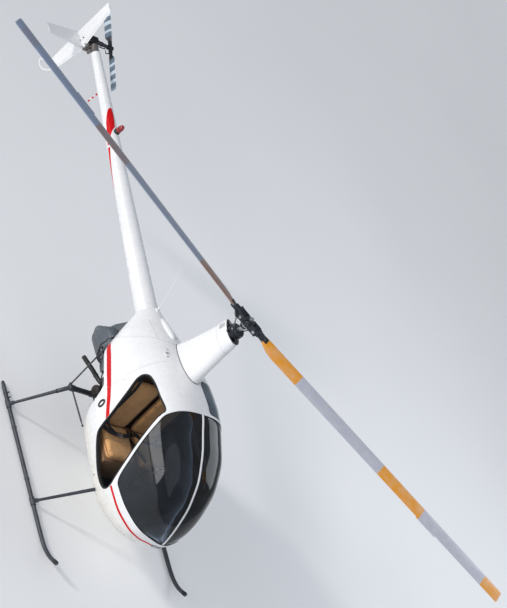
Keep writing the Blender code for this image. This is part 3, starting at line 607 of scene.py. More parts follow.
def body_rows(y):
    """The section's six values at y, read along the root of the distance from the nose, which rounds the
    nose."""
    return np.moveaxis(knots(BODY_ROOTS, np.sqrt(np.maximum(np.asarray(y, float) - NOSE_Y, 0.0))), -1, 0)


def skin_x(y, z):
    """Half width of the skin at y and z."""
    w, top, low, mid, up, down = body_rows(y)
    above = z >= mid
    n = np.where(above, up, down)
    share = np.clip(np.abs(z - mid) / np.where(above, top - mid, mid - low), 0, 1)
    return w * (1 - share**n) ** (1 / n)


def roof_z(x, y):
    """Height of the skin's upper side at x and y."""
    w, top, low, mid, up, down = body_rows(y)
    share = np.clip(np.abs(x) / np.maximum(w, 1e-6), 0, 1)
    return mid + (top - mid) * (1 - share**up) ** (1 / up)


def body_level(p):
    """Below 1 inside the skin and above 1 outside: the two powers of a section's rounded form."""
    w, top, low, mid, up, down = body_rows(p[..., 1])
    above = p[..., 2] >= mid
    n = np.where(above, up, down)
    reach = np.maximum(np.where(above, top - mid, mid - low), 1e-5)
    return (np.abs(p[..., 0]) / np.maximum(w, 1e-5)) ** n + (np.abs(p[..., 2] - mid) / reach) ** n


def body_normal(p):
    """Outward direction: the slope of the level by small steps along each axis."""
    p = np.asarray(p, float)
    slope = []
    for axis in range(3):
        step = np.zeros(3)
        step[axis] = 2e-5
        slope.append(body_level(p + step) - body_level(p - step))
    found = unit(np.stack(slope, axis=-1))
    return np.where((p[..., 1] < NOSE_Y + 4e-4)[..., None], np.array([0.0, -1.0, 0.0]), found)


def on_skin(y, z, side=-1.0):
    """Points of the skin at y and z, on the right side when side is -1."""
    return np.stack([side * skin_x(y, z), y, z], axis=-1)


def skin_line(rows, side, count, per=12):
    """Even points of a smooth line on the skin through rows of y and z."""
    return on_skin(*even(smooth_path(rows, per), count).T, side)


def ribbon(path, normal, profile, ring=False, flip=1.0):
    """A strip laid along a line on a surface: the profile's first number runs across it, the second
    stands out."""
    ahead = runs(path, ring)
    across = unit(np.cross(normal, ahead)) * flip
    profile = np.asarray(profile, float)
    rings = path[:, None] + profile[:, 0, None] * across[:, None] + profile[:, 1, None] * normal[:, None]
    return hoop(rings) if ring else loft(rings)


def skin_ribbon(path, profile, ring=False):
    """A ribbon that stands on the skin."""
    return ribbon(path, body_normal(path), profile, ring)


def patch(points, normal, lift):
    """A thin closed skin over a grid of surface points: the grid sunk by half of lift and raised by lift,
    closed round its rim."""
    rows, cols = points.shape[:2]
    low = (points - normal * lift * 0.5).reshape(-1, 3)
    high = (points + normal * lift).reshape(-1, 3)
    face = grid_faces(rows, cols)
    rim = np.concatenate([np.arange(cols), np.arange(1, rows) * cols + cols - 1,
        (rows - 1) * cols + np.arange(cols - 2, -1, -1), np.arange(rows - 2, 0, -1) * cols])
    after = np.roll(rim, -1)
    count = rows * cols
    wall = np.stack([rim, after, after + count, rim + count], axis=1)
    return np.concatenate([low, high]), [face[:, ::-1], face + count, wall]


# Cabin skin, cut by the same side view outlines as the frame

SCREEN = [(-0.58, 1.66), (-0.6, 1.56), (-0.658, 1.47), (-0.745, 1.31), (-0.855, 1.09), (-0.942, 0.885),
    (-0.978, 0.83), (-1.01, 0.802), (-1.06, 0.786), (-1.17, 0.766), (-1.365, 0.742), (-1.5, 0.736)]
DOOR = [(-0.572, 1.58), (-0.603, 1.522), (-0.634, 1.468), (-0.731, 1.3), (-0.836, 1.08), (-0.951, 0.8),
    (-0.977, 0.74), (-0.985, 0.67), (-0.962, 0.618), (-0.9, 0.596), (-0.79, 0.6), (-0.64, 0.636),
    (-0.45, 0.716), (-0.372, 0.77), (-0.335, 0.85), (-0.29, 1.0), (-0.17, 1.271), (-0.075, 1.415),
    (-0.07, 1.47), (-0.105, 1.525), (-0.2, 1.56), (-0.38, 1.58)]
DOOR_PANE = [(-0.535, 1.54), (-0.58, 1.455), (-0.685, 1.285), (-0.795, 1.065), (-0.835, 0.985),
    (-0.829, 0.962), (-0.79, 0.95), (-0.42, 0.99), (-0.345, 1.02), (-0.23, 1.255), (-0.13, 1.42),
    (-0.135, 1.48), (-0.2, 1.515), (-0.36, 1.54)]
BAY = [(-0.05, 0.1), (-0.06, 0.56), (0.0, 0.73), (0.035, 0.835), (0.065, 0.902), (0.105, 0.957),
    (0.16, 0.966), (0.42, 0.974), (0.51, 0.972), (0.58, 0.975), (0.64, 1.03), (0.7, 1.115), (0.765, 1.205),
    (0.8, 1.245), (1.2, 1.245), (1.2, 0.1)]
SEAM_Y = 0.03
STRIP_HALF = 0.017
WALL = 0.03
COWL_WALL = 0.014
SMALL = 0.0003
ALIKE = 0.72
LINING_TOP = 1.36

ROWS = 84 if FINE else 48
COLS = 120 if FINE else 72


def body_grid(depth):
    """The skin's points, moved in by depth along the normal: rows at even steps of the root of the
    distance from the nose, columns at even angles of the rounded section."""
    y = NOSE_Y + np.linspace(0.02, math.sqrt(0.85 - NOSE_Y), ROWS) ** 2
    w, top, low, mid, up, down = (q[:, None] for q in body_rows(y))
    a = angles(COLS, 0.5)
    c, s = np.cos(a), np.sin(a)
    n = np.where(s > 0, up, down)
    x = w * power(c, 2 / n)
    z = mid + np.where(s > 0, top - mid, mid - low) * power(s, 2 / n)
    p = np.stack([x, np.broadcast_to(y[:, None], x.shape), z], axis=-1)
    return p - body_normal(p) * depth


def body_shell(outside, inside):
    """A closed shell: the skin moved out by outside, the lining moved in by inside, joined at the aft
    rim."""
    out = body_grid(-outside)
    back = body_grid(inside)
    tips = np.array([[0.0, NOSE_Y - outside, NOSE_Z], [0.0, NOSE_Y + inside, NOSE_Z]])
    count = ROWS * COLS
    k = np.arange(COLS)
    n = (k + 1) % COLS
    face = grid_faces(ROWS, COLS, True)
    fan_out = np.stack([k, n, np.full(COLS, 2 * count)], axis=1)
    fan_in = np.stack([n + count, k + count, np.full(COLS, 2 * count + 1)], axis=1)
    last = (ROWS - 1) * COLS
    rim = np.stack([last + n, last + k, last + k + count, last + n + count], axis=1)
    return np.concatenate([out.reshape(-1, 3), back.reshape(-1, 3), tips]), [face, face[:, ::-1] + count,
        fan_out, fan_in, rim]


def loose(name, form):
    """An unshown working object, without the frame's shift."""
    mesh = bpy.data.meshes.new(name)
    mesh.from_pydata(form[0].tolist(), [], [face for f in form[1] for face in f.tolist()])
    shape = bmesh.new()
    shape.from_mesh(mesh)
    bmesh.ops.remove_doubles(shape, verts=shape.verts, dist=1e-6)
    bmesh.ops.recalc_face_normals(shape, faces=shape.faces)
    shape.to_mesh(mesh)
    shape.free()
    made = bpy.data.objects.new(name, mesh)
    bpy.context.scene.collection.objects.link(made)
    return made


def carved(form, steps):
    """The form after its Boolean steps, each a way and a closed cutter, as a finished mesh."""
    work = loose("work", form)
    tools = []
    for way, tool in steps:
        tools.append(loose("tool", tool))
        step = work.modifiers.new("cut", "BOOLEAN")
        step.operation = way
        step.solver = "EXACT"
        step.object = tools[-1]
    graph = bpy.context.evaluated_depsgraph_get()
    graph.update()
    mesh = bpy.data.meshes.new_from_object(work.evaluated_get(graph))
    for spent in [work, *tools]:
        held = spent.data
        bpy.data.objects.remove(spent, do_unlink=True)
        bpy.data.meshes.remove(held)
    return mesh


def read(holder, word, kind=float, wide=1):
    """One value of every vertex, corner or face as an array."""
    found = np.empty(len(holder) * wide, kind)
    holder.foreach_get(word, found)
    return found.reshape(-1, 3) if wide == 3 else found


def skin_piece(name, mesh, looks, body, stands_for, inner_look=None):
    """Shades a piece cut from the skin: outer and inner faces take the form's own normal, so that the
    cuts leave no dents in the gloss, and rims stay flat. Looks are outside, rim, inside."""
    points, facing = read(mesh.vertices, "co", wide=3), read(mesh.polygons, "normal", wide=3)
    corners, sizes = read(mesh.loops, "vertex_index", np.int32), read(mesh.polygons, "loop_total", np.int32)
    owner = np.repeat(np.arange(len(sizes)), sizes)
    true = body_normal(points)[corners]
    agree = np.sum(true * facing[owner], axis=1)
    normal = np.where((agree > ALIKE)[:, None], true, np.where((agree < -ALIKE)[:, None], -true,
        facing[owner]))
    middle = np.zeros((len(sizes), 3))
    np.add.at(middle, owner, points[corners])
    middle /= sizes[:, None]
    mean = np.zeros(len(sizes))
    np.add.at(mean, owner, agree)
    mean /= sizes
    kind = np.where(mean > ALIKE, 0, np.where(mean < -ALIKE, 2, 1))
    if inner_look is not None:
        kind = np.where((kind == 2) & (middle[:, 2] > LINING_TOP), 3, kind)
        looks = [*looks, inner_look]
    mesh.vertices.foreach_set("co", (points + SHIFT).ravel())
    mesh.materials.clear()
    for look in looks:
        mesh.materials.append(look)
    mesh.polygons.foreach_set("material_index", kind.astype(np.int32))
    mesh.name = name
    mesh.shade_smooth()
    mesh.update()
    mesh.normals_split_custom_set(normal.tolist())
    settle(name, mesh, stands_for, None, body)


def grown(outline, by):
    """A closed outline moved outward by a distance along its own normal."""
    pts = np.asarray(outline, float)
    ahead = runs(pts, True)
    turn = np.sum(pts[:, 0] * np.roll(pts[:, 1], -1) - np.roll(pts[:, 0], -1) * pts[:, 1])
    out = np.stack([ahead[:, 1], -ahead[:, 0]], axis=1) * np.sign(turn)
    return pts + out * by


DOOR_LINE = even(smooth_path(DOOR, 8, True), 150, True)
PANE_LINE = even(smooth_path(DOOR_PANE, 8, True), 120, True)
SCREEN_LINE = even(smooth_path(SCREEN, 10), 110)
DOOR_LIFT = 0.012
low_share = np.clip((0.66 - DOOR_LINE[:, 1]) / 0.05, 0, 1)
DOOR_EDGE = grown(DOOR_LINE + np.column_stack([np.zeros(150), low_share * DOOR_LIFT]), -0.0062)


def screen_area(by=0.0):
    """The windscreens' side view, closed past the roof and the nose, and grown by a distance."""
    line = SCREEN_LINE.copy()
    ahead = runs(line)
    line = line + np.stack([-ahead[:, 1], ahead[:, 0]], axis=1) * by
    return np.concatenate([[(line[0, 0], 1.95)], line, [(-1.85, line[-1, 1]), (-1.85, 1.95)]])


def through(outline, x0=-0.9, x1=0.9):
    """A cutter of the whole width with a side view outline."""
    return prism(outline, x0, x1)


def keep_box(y0, y1):
    """A cutter that keeps what lies between two places along y."""
    return through([(y0, 0.1), (y1, 0.1), (y1, 2.0), (y0, 2.0)])


SHELL = body_shell(0.0, WALL)
skin_mesh = carved(SHELL, [("INTERSECT", keep_box(-1.9, SEAM_Y - SMALL)),
    ("DIFFERENCE", through(screen_area(SMALL))), ("DIFFERENCE", through(DOOR_LINE, x1=-0.25)),
    ("DIFFERENCE", through(DOOR_LINE, 0.25)), ("DIFFERENCE", through(BAY))])
skin_piece("cabin_skin", skin_mesh, [WHITE, BLACK, LINING], "airframe",
    ("cabin_lower_shell", "cabin_roof"), HEADLINER)

CONE_FRONT = np.array([0.0, 0.805, 1.373])
CONE_BACK = np.array([0.0, 4.225, 1.686])
CONE_AIM = unit(CONE_BACK - CONE_FRONT)
CONE_LONG = float(np.linalg.norm(CONE_BACK - CONE_FRONT))
CONE_SPREAD = (0.126, 0.0535)
cone_room = turned(CONE_FRONT - CONE_AIM * 0.3, CONE_AIM, [(0.0, 0.133), (0.6, 0.1205)], 48)
cowl_mesh = carved(body_shell(0.0, COWL_WALL), [("INTERSECT", keep_box(SEAM_Y + SMALL, 1.1)),
    ("DIFFERENCE", through(BAY)), ("DIFFERENCE", cone_room)])
skin_piece("cowl_skin", cowl_mesh, [WHITE, WHITE, CAST], "airframe", ("aft_cowl",))

# Windscreen halves and the strip between them
PANE_SHELL = body_shell(-0.003, 0.0075)
for name, x0, x1 in (("windscreen_right", -0.9, -STRIP_HALF - SMALL),
        ("windscreen_left", STRIP_HALF + SMALL, 0.9)):
    pane_mesh = carved(PANE_SHELL, [("INTERSECT", prism(screen_area(-SMALL), x0, x1))])
    skin_piece(name + "_pane", pane_mesh, [SCREEN_GLASS] * 3, "airframe", (name,))
strip_mesh = carved(SHELL, [("INTERSECT", prism(screen_area(-SMALL), -STRIP_HALF, STRIP_HALF))])
skin_piece("screen_strip", strip_mesh, [BLACK] * 3, "airframe", ("windscreen_strip",))


def screen_rim():
    """The right half of the windscreens' edge on the skin, from the nose's middle to the roof's middle:
    along the nose at one height, up the side by the side view, and across the roof at one y."""
    level = SCREEN_LINE[-1, 1]
    y = NOSE_Y + np.linspace(0.03, math.sqrt(SCREEN_LINE[-1, 0] - NOSE_Y), 300) ** 2
    y = y[body_rows(y)[1] > level][:-1]
    nose = on_skin(y, np.full(len(y), level))
    nose = np.concatenate([[(0.0, nose[0, 1] - 1e-4, level)], nose])
    side = on_skin(*SCREEN_LINE[::-1].T)
    w, top, low, mid, up, down = body_rows(SCREEN_LINE[0, 0])
    start = math.asin(((SCREEN_LINE[0, 1] - mid) / (top - mid)) ** (up / 2))
    a = np.linspace(start, math.pi / 2, 60)[1:]
    roof = np.column_stack([-w * np.maximum(np.cos(a), 0) ** (2 / up), np.full(len(a), SCREEN_LINE[0, 0]),
        mid + (top - mid) * np.sin(a) ** (2 / up)])
    return even(np.concatenate([nose, side, roof]), 150)


RIM = screen_rim()
RIM_ALL = np.concatenate([RIM, (RIM * np.array([-1.0, 1.0, 1.0]))[-2:0:-1]])
FRAME_PROFILE = [(-0.0165, -0.003), (-0.016, 0.0022), (-0.0135, 0.004), (0.008, 0.004), (0.0112, 0.003),
    (0.012, -0.003)]
make("screen_frame", [(WHITE, skin_ribbon(RIM_ALL, FRAME_PROFILE, True))], angle=50)
SEAL_PROFILE = [(-0.0215, -0.004), (-0.021, 0.001), (-0.0165, 0.0014), (-0.016, -0.004)]
make("screen_seal", [(RUBBER, skin_ribbon(RIM_ALL, SEAL_PROFILE, True))], angle=50)
middle_y = NOSE_Y + np.linspace(0.045, math.sqrt(-0.58 - NOSE_Y), 120) ** 2
MIDDLE = np.column_stack([np.zeros(120), middle_y, body_rows(middle_y)[1]])
CAP_PROFILE = [(-0.012, -0.004), (-0.0116, 0.0024), (-0.0095, 0.004), (0.0095, 0.004), (0.0116, 0.0024),
    (0.012, -0.004)]
make("screen_strip_cap", [(WHITE, skin_ribbon(MIDDLE, CAP_PROFILE))], angle=50)


# Doorways, the left door and what lies on the skin


def out_flip(path, normal):
    """1 or -1, so that a ribbon's positive side lies outside a closed line."""
    across = np.cross(normal, runs(path, True))
    return float(np.sign(np.sum(across * (path - path.mean(axis=0)))))


def edge_ribbon(path, profile):
    """A closed ribbon on the skin whose positive side lies outside its line."""
    normal = body_normal(path)
    return ribbon(path, normal, profile, True, out_flip(path, normal))


right_edge, left_edge = (on_skin(*DOOR_LINE.T, side) for side in SIDES)
JAMB = [(-0.0125, -0.03), (-0.0125, -0.003), (-0.0105, 0.0008), (-0.004, 0.0024), (0.0025, 0.0024),
    (0.004, 0.0005), (0.0035, -0.001), (-0.0002, -0.0012), (-0.0002, -0.03)]
make("doorway_seal_right", [(RUBBER, edge_ribbon(right_edge, JAMB))], angle=50)
LEFT_SEAL = [(-0.0026, -0.029), (-0.0026, -0.015), (-0.0002, -0.014), (-0.0002, -0.029)]
STOP = [(-0.024, -0.037), (-0.024, -0.0335), (0.006, -0.0335), (0.006, -0.031), (0.01, -0.031),
    (0.01, -0.037)]
make("doorway_seal_left", [(RUBBER, *[edge_ribbon(left_edge, profile) for profile in (LEFT_SEAL, STOP)])],
    angle=50)

HINGE = np.array([0.575, -0.775, 1.1])
HINGE_LINE = unit(np.array([0.0, 0.43, 0.9028]))
door_mesh = carved(SHELL, [("INTERSECT", through(DOOR_EDGE, 0.25)),
    ("DIFFERENCE", through(grown(PANE_LINE, SMALL), 0.25))])
skin_piece("left_door_skin", door_mesh, [WHITE, BLACK, LINING], "left_door", ("left_door",))
door_pane_mesh = carved(PANE_SHELL, [("INTERSECT", through(grown(PANE_LINE, -SMALL), 0.25))])
skin_piece("left_door_window", door_pane_mesh, [DOOR_GLASS] * 3, "left_door",
    ("left_door_pane",))
pane_edge = on_skin(*PANE_LINE.T, 1.0)
PANE_BEAD = [(-0.01, -0.003), (-0.0095, 0.0042), (-0.007, 0.0054), (0.0045, 0.0054), (0.0065, 0.004),
    (0.007, -0.002)]
PANE_BEAD_IN = [(-0.01, -0.009), (-0.01, -0.012), (-0.002, -0.033), (0.008, -0.033), (0.008, -0.0302),
    (-0.0004, -0.009)]
knuckle = joined(brick(-0.05, 0.004, -0.026, -0.002, 0.0, 0.0278, 0.003),
    turned_ring((0, 0, 0.0002), Z, [(0, 0.006), (0, 0.0085), (0.0275, 0.0085), (0.0275, 0.006)], 20))
knuckles = joined(*[moved(knuckle, placed(X, np.cross(HINGE_LINE, X), HINGE_LINE,
    HINGE + HINGE_LINE * along)) for along in (-0.22, 0.19)])
handle_at = on_skin(-0.36, 0.93, 1.0)
handle_out = body_normal(handle_at)
handle_ahead = unit(np.cross(Z, handle_out))
handle = moved(joined(turned((0, 0, -0.001), Z, [(0, 0.019), (0.003, 0.019), (0.005, 0.016)], 28),
    brick(-0.014, 0.08, -0.009, 0.009, 0.004, 0.011, 0.0035)),
    placed(handle_ahead, np.cross(handle_out, handle_ahead), handle_out, handle_at))
door_bits = [(BLACK, edge_ribbon(pane_edge, PANE_BEAD)), (LINING, edge_ribbon(pane_edge, PANE_BEAD_IN)),
    (WHITE, knuckles), (DULL, handle)]


def flat_band(half, lift):
    """The profile of a thin painted line: half its width to each side, raised by lift."""
    return [(-half, -0.0004), (-half, lift), (half, lift), (half, -0.0004)]


DOOR_RED = [(-0.325, 0.943), (-0.42, 0.925), (-0.6, 0.872), (-0.78, 0.806), (-0.9, 0.757), (-0.962, 0.733)]
door_bits.append((RED_GLOSS, skin_ribbon(skin_line(DOOR_RED, 1.0, 90), flat_band(0.0075, 0.0007))))
make("left_door_trim", door_bits, angle=45, body="left_door")

# Red side stripe: y, lower edge, upper edge
STRIPE = np.array([(-0.33, 0.912, 0.966), (-0.291, 0.926, 0.98), (-0.263, 0.935, 0.99),
    (-0.217, 0.95, 1.004), (-0.16, 0.968, 1.025), (-0.117, 0.98, 1.039), (-0.05, 0.995, 1.051),
    (0.037, 1.004, 1.065), (0.074, 1.007, 1.07), (0.204, 1.014, 1.081), (0.375, 1.022, 1.091),
    (0.454, 1.025, 1.095), (0.541, 1.022, 1.094), (0.602, 1.018, 1.088)])


def stripe_grid(side, y0, y1, count):
    """The stripe's points on the skin, its forward end cut along the doorway's aft edge and its lower
    edge kept just above the cowl's lower edge."""
    y = np.linspace(y0, y1, count)
    low, high = knots(STRIPE, y).T
    low = np.maximum(low, np.interp(y, *np.array(BAY[1:14]).T, left=0.0) + 0.004)
    high = np.maximum(high, low + 0.0006)
    share = np.linspace(0, 1, 9)[None]
    z = low[:, None] + (high - low)[:, None] * share
    y = np.maximum(y[:, None], np.interp(z, [0.85, 1.0, 1.271], [-0.335, -0.29, -0.17]) + 0.007)
    return on_skin(y, z, side)


stripes = []
for side in SIDES:
    for y0, y1, count in ((-0.33, SEAM_Y - 0.001, 70), (SEAM_Y + 0.001, 0.6, 90)):
        grid = stripe_grid(side, y0, y1, count)
        stripes.append(patch(grid, body_normal(grid), 0.0006))
NOSE_RED = [(-0.992, 0.727), (-1.045, 0.714), (-1.11, 0.699), (-1.19, 0.682), (-1.28, 0.667),
    (-1.374, 0.657), (-1.459, 0.65), (-1.52, 0.65)]
NOSE_RISE = 0.034


def nose_line():
    """The nose's thin line: along the side view points, then round the nose's middle at rising height, in
    one run from the right door's corner to the left door's."""
    right = skin_line(NOSE_RED, -1.0, 80)
    x_end, z_end = right[-1, ::2]
    x = np.linspace(x_end, 0.0, 40)[1:]
    z = z_end + NOSE_RISE * (1 - (x / x_end) ** 2)
    y = np.linspace(NOSE_Y + 1e-4, -1.4, 1500)
    half = skin_x(y[None], np.broadcast_to(z[:, None], (len(z), len(y))))
    fit = np.array([np.interp(-a, row[row > 0], y[row > 0]) for a, row in zip(x, half)])
    nose = np.column_stack([x, fit, z])
    whole = np.concatenate([right, nose, (nose * (-1, 1, 1))[-2::-1], (right * (-1, 1, 1))[::-1]])
    return even(whole, 260)


def nose_window(count=40):
    """The landing lights' dark window: a rounded oblong in x and z, carried back onto the nose by halving
    the span of y between the tip and a place inside."""
    u = np.linspace(-1, 1, 33)[None]
    v = np.linspace(-1, 1, 15)[:, None]
    x = 0.084 * u * np.sqrt(1 - 0.4 * v**2)
    z = 0.682 + 0.031 * v * np.sqrt(1 - 0.4 * u**2)
    near, far = np.full(x.shape, NOSE_Y + 1e-4), np.full(x.shape, -1.4)
    for _ in range(count):
        middle = (near + far) / 2
        outside = body_level(np.stack([x, middle, z], axis=-1)) > 1
        near, far = np.where(outside, middle, near), np.where(outside, far, middle)
    return np.stack([x, far, z], axis=-1)


LIGHTS = nose_window()
light_out = body_normal(LIGHTS)
lamps = joined(*[turned(LIGHTS[7, k] + light_out[7, k] * 0.0015, light_out[7, k],
    [(0, 0.0235), (0.0022, 0.0225), (0.0026, 0.017), (0.001, 0.006)], 36) for k in (9, 23)])
make("nose_lights", [(ROOF_GLASS, patch(LIGHTS, light_out, 0.0016)), (STEEL, lamps)],
    angle=40)
stripes.append(skin_ribbon(nose_line(), flat_band(0.013, 0.0007)))
make("red_stripes", [(RED_GLOSS, *stripes)], angle=60)

# Panel seams, the oval ring on the lower side, small fasteners, fuel cap, blister and aerial foot
HAIR = flat_band(0.0013, 0.0004)


def over_top(rows, side):
    """Points of the skin's top through rows of x and y."""
    line = even(smooth_path(np.array(rows) * (side, 1), 12), 80)
    return np.column_stack([line, roof_z(*line.T)])


SIDE_SEAM = [(0.64, 1.15), (0.56, 1.25), (0.528, 1.305), (0.47, 1.42), (0.425, 1.51)]
TOP_SEAMS = ([(0.262, 0.425), (0.2, 0.368), (0.11, 0.32), (0.02, 0.304)],
    [(0.202, 0.353), (0.188, 0.48), (0.17, 0.6), (0.15, 0.7)])
seams = []
for side in SIDES:
    seams += [skin_line(SIDE_SEAM, side, 70), *[over_top(rows, side) for rows in TOP_SEAMS]]
seams += [even(on_skin(np.full(60, SEAM_Y), np.linspace(0.6, 1.66, 60), side), 60) for side in SIDES]
make("panel_seams", [(SEAM, *[skin_ribbon(path, HAIR) for path in seams])], angle=60)


def flush_bolts(rows, side, count, size):
    """Flat screw heads at even steps of a line on the skin."""
    p = skin_line(rows, side, count, 10)
    n = body_normal(p)
    return joined(*[turned(a - b * 0.0006, b, [(0, size), (0.0012, size), (0.0016, size * 0.8)], 12)
        for a, b in zip(p, n)])


SCREW_LINES = (([(0.012, 0.795), (0.052, 0.897), (0.094, 0.968), (0.165, 0.981), (0.3, 0.986),
    (0.45, 0.988), (0.574, 0.991), (0.628, 1.046), (0.688, 1.13)], 17, 0.0035),
    ([(0.655, 1.16), (0.575, 1.262), (0.543, 1.315), (0.485, 1.43), (0.44, 1.518)], 9, 0.0035),
    ([(-0.09, 0.48), (-0.096, 0.56), (-0.045, 0.7)], 5, 0.0035),
    ([(-1.03, 0.76), (-1.15, 0.735), (-1.35, 0.705), (-1.48, 0.69)], 8, 0.0028))
fasteners = [flush_bolts(rows, side, count, size) for side in SIDES for rows, count, size in SCREW_LINES]


def oval_ring(y, z, half_y, half_z, thick, side):
    """A bead round an oval on the skin, whose y follows the cosine and z the sine."""
    a = angles(40)
    path = on_skin(y + half_y * np.cos(a), z + half_z * np.sin(a), side)
    return tube(path + body_normal(path) * 0.001, thick, 10, True)


marks = []
for side in SIDES:
    marks.append(oval_ring(-0.098, 0.905, 0.03, 0.044, 0.0115, side))
    for y, z, r in ((-0.742, 0.53, 0.0095), (-0.01, 1.25, 0.0045)):
        spot = on_skin(y, z, side)
        out = body_normal(spot)
        marks.append(turned(spot - out * 0.001, out, [(0, r), (0.0025, r), (0.004, r * 0.7)], 20))
make("skin_fasteners", [(FASTENER, *fasteners), (BLACK, *marks)], angle=40)


def skin_frame(x, y, turn=0.0):
    """A frame on the skin's top at x and y: its third axis stands out, its second runs aft."""
    spot = np.array([x, y, float(roof_z(x, y))])
    out = body_normal(spot)
    ahead = np.array([math.sin(turn), math.cos(turn), 0.0])
    aft = unit(ahead - out * np.dot(out, ahead))
    return placed(np.cross(aft, out), aft, out, spot)


def blister_form(long_half, wide_half, high, rows=28, cols=33):
    """A teardrop bubble: across, each section is a half round whose width and height follow one rounded
    curve from end to end, fullest a third of the way along."""
    t = (1 - np.cos(np.linspace(0, np.pi, rows))) / 2
    size = np.sqrt(np.maximum(1 - (2 * np.abs(t - 0.5)) ** 2.6, 0)) * (1.12 - 0.24 * t)
    a = np.linspace(0, np.pi, cols)
    x = wide_half * size[:, None] * np.cos(a)[None]
    z = high * size[:, None] * np.sin(a)[None] ** 0.85 - 0.004
    y = np.broadcast_to(((t * 2 - 1) * long_half)[:, None], x.shape)
    return loft(np.stack([x, y, z], axis=-1))


blister = moved(blister_form(0.168, 0.042, 0.04), skin_frame(-0.012, 0.545))
cap_frame = skin_frame(-0.215, 0.146, 0.35)
pad = np.column_stack([0.03 * np.cos(angles(36)), 0.052 * np.sin(angles(36)), np.full(36, 0.002)])
cap_parts = ((WHITE, loft([pad - (0, 0, 0.006), pad, pad * (0.93, 0.96, 1) + (0, 0, 0.0022)])),
    (FASTENER, brick(-0.01, 0.01, -0.064, -0.05, -0.002, 0.008, 0.002),
    brick(-0.01, 0.01, 0.048, 0.064, -0.002, 0.008, 0.002)), (FASTENER,
    turned((0, 0, 0.002), Z, [(0, 0.02), (0.004, 0.02), (0.006, 0.017)], 28),
    brick(-0.016, 0.016, -0.0035, 0.0035, 0.007, 0.013, 0.002)))
fuel_cap = [(look, moved(joined(*forms), cap_frame)) for look, *forms in cap_parts]
aerial_path = smooth_path([(0.0, 0.836, 1.532), (0.0, 0.86, 1.6), (0.0, 0.96, 1.79), (0.0, 1.108, 2.0)], 10)
aerial = joined(tube(aerial_path, np.linspace(0.004, 0.0018, len(aerial_path)), 12),
    turned(aerial_path[0] - (0, 0.004, 0.014), (0, 0.34, 1.0), [(0, 0.009), (0.03, 0.009), (0.05, 0.0055)],
    20))
make("whip_aerial_rod", [(WHITE, aerial)], ("whip_aerial",))
foot = brick(-0.026, 0.026, 0.806, 0.858, 1.49, 1.535, 0.008, 3)
make("cowl_top_fittings", [(WHITE, blister, foot), *fuel_cap], angle=45)


# Rotor pylon fairing: z, leading edge y, trailing edge y, half thickness
FAIRING = np.array([(1.56, -0.25, 0.33, 0.125), (1.7, -0.235, 0.305, 0.118), (1.8, -0.215, 0.275, 0.108),
    (2.0, -0.185, 0.235, 0.095), (2.2, -0.155, 0.205, 0.086), (2.34, -0.14, 0.19, 0.08),
    (2.365, -0.13, 0.18, 0.074)])
FAIRING_TOP = 2.365


def fairing_at(z, a, inset=0.0):
    """The drop-shaped section: y runs by half a cosine from the leading to the trailing edge, x by a sine
    whose size falls towards the trailing edge."""
    lead, trail, half = np.moveaxis(knots(FAIRING, z), -1, 0)
    along = 0.5 - 0.5 * np.cos(a)
    x = (half - inset) * np.sin(a) * (1.22 - 0.62 * along)
    y = lead + inset + (trail - lead - 2 * inset) * along
    return np.stack([x, y, z], axis=-1)


FAIRING_SIDES = 96
fairing_a = angles(FAIRING_SIDES)


def fairing_foot(a, sink=0.006):
    """Height where the fairing meets the roof at each angle, found by going back and forth five times."""
    z = np.full(len(a), 1.7)
    for _ in range(5):
        p = fairing_at(z, a)
        z = roof_z(p[:, 0], p[:, 1]) - sink
    return z


def fairing_rows(inset, rows=44):
    """The fairing from its foot to its top, closer at the foot by a power of the share."""
    foot = fairing_foot(fairing_a)
    share = np.linspace(0, 1, rows) ** 0.9
    z = foot[None] + (FAIRING_TOP - foot[None]) * share[:, None]
    return fairing_at(z, np.broadcast_to(fairing_a, z.shape), inset)


outer_rows = fairing_rows(0.0)
inner_rows = fairing_rows(0.005)
foot_ring = fairing_at(fairing_foot(fairing_a, 0.0), fairing_a)
top_ring = fairing_at(np.full(FAIRING_SIDES, FAIRING_TOP - 0.003), fairing_a, 0.0005)


def fairing_normal(z, a):
    """Outward direction: square to small steps up and round."""
    step = 1e-3
    up = fairing_at(z + step, a) - fairing_at(z - step, a)
    round_it = fairing_at(z, a + step) - fairing_at(z, a - step)
    return unit(np.cross(round_it, up))


def fairing_line(z, a):
    """A thin seam on the fairing along heights and angles."""
    z, a = (np.broadcast_to(q, (70,)).astype(float) for q in (z, a))
    return ribbon(fairing_at(z, a), fairing_normal(z, a), HAIR)


well = [fairing_at(np.full(FAIRING_SIDES, z), fairing_a, 0.0055) for z in (2.34, 2.345)]
hole = [np.column_stack([0.047 * np.sin(fairing_a), -0.047 * np.cos(fairing_a), np.full(FAIRING_SIDES, z)])
    for z in (2.345, 2.34)]
slats = []
for z in np.linspace(2.262, 2.332, 8):
    grid_a, grid_z = np.meshgrid(np.linspace(math.radians(217), math.radians(242), 9),
        np.linspace(z, z + 0.0055, 3))
    slats.append(patch(fairing_at(grid_z, grid_a), fairing_normal(grid_z, grid_a), 0.0014))
make("pylon_fairing", [(WHITE, hoop(np.concatenate([outer_rows, inner_rows[::-1]]))),
    (SEAM, fairing_line(np.linspace(1.76, 2.36, 70), 0.0), fairing_line(np.linspace(1.68, 2.36, 70), np.pi),
    fairing_line(2.215, np.linspace(0.02, 2 * np.pi - 0.02, 70)), *slats),
    (RUBBER, tube(foot_ring + (0, 0, 0.001), 0.0042, 8, True), tube(top_ring, 0.0045, 8, True)),
    (BLACK, hoop(np.array([*well, *hole])))], ("mast_fairing",), 40)

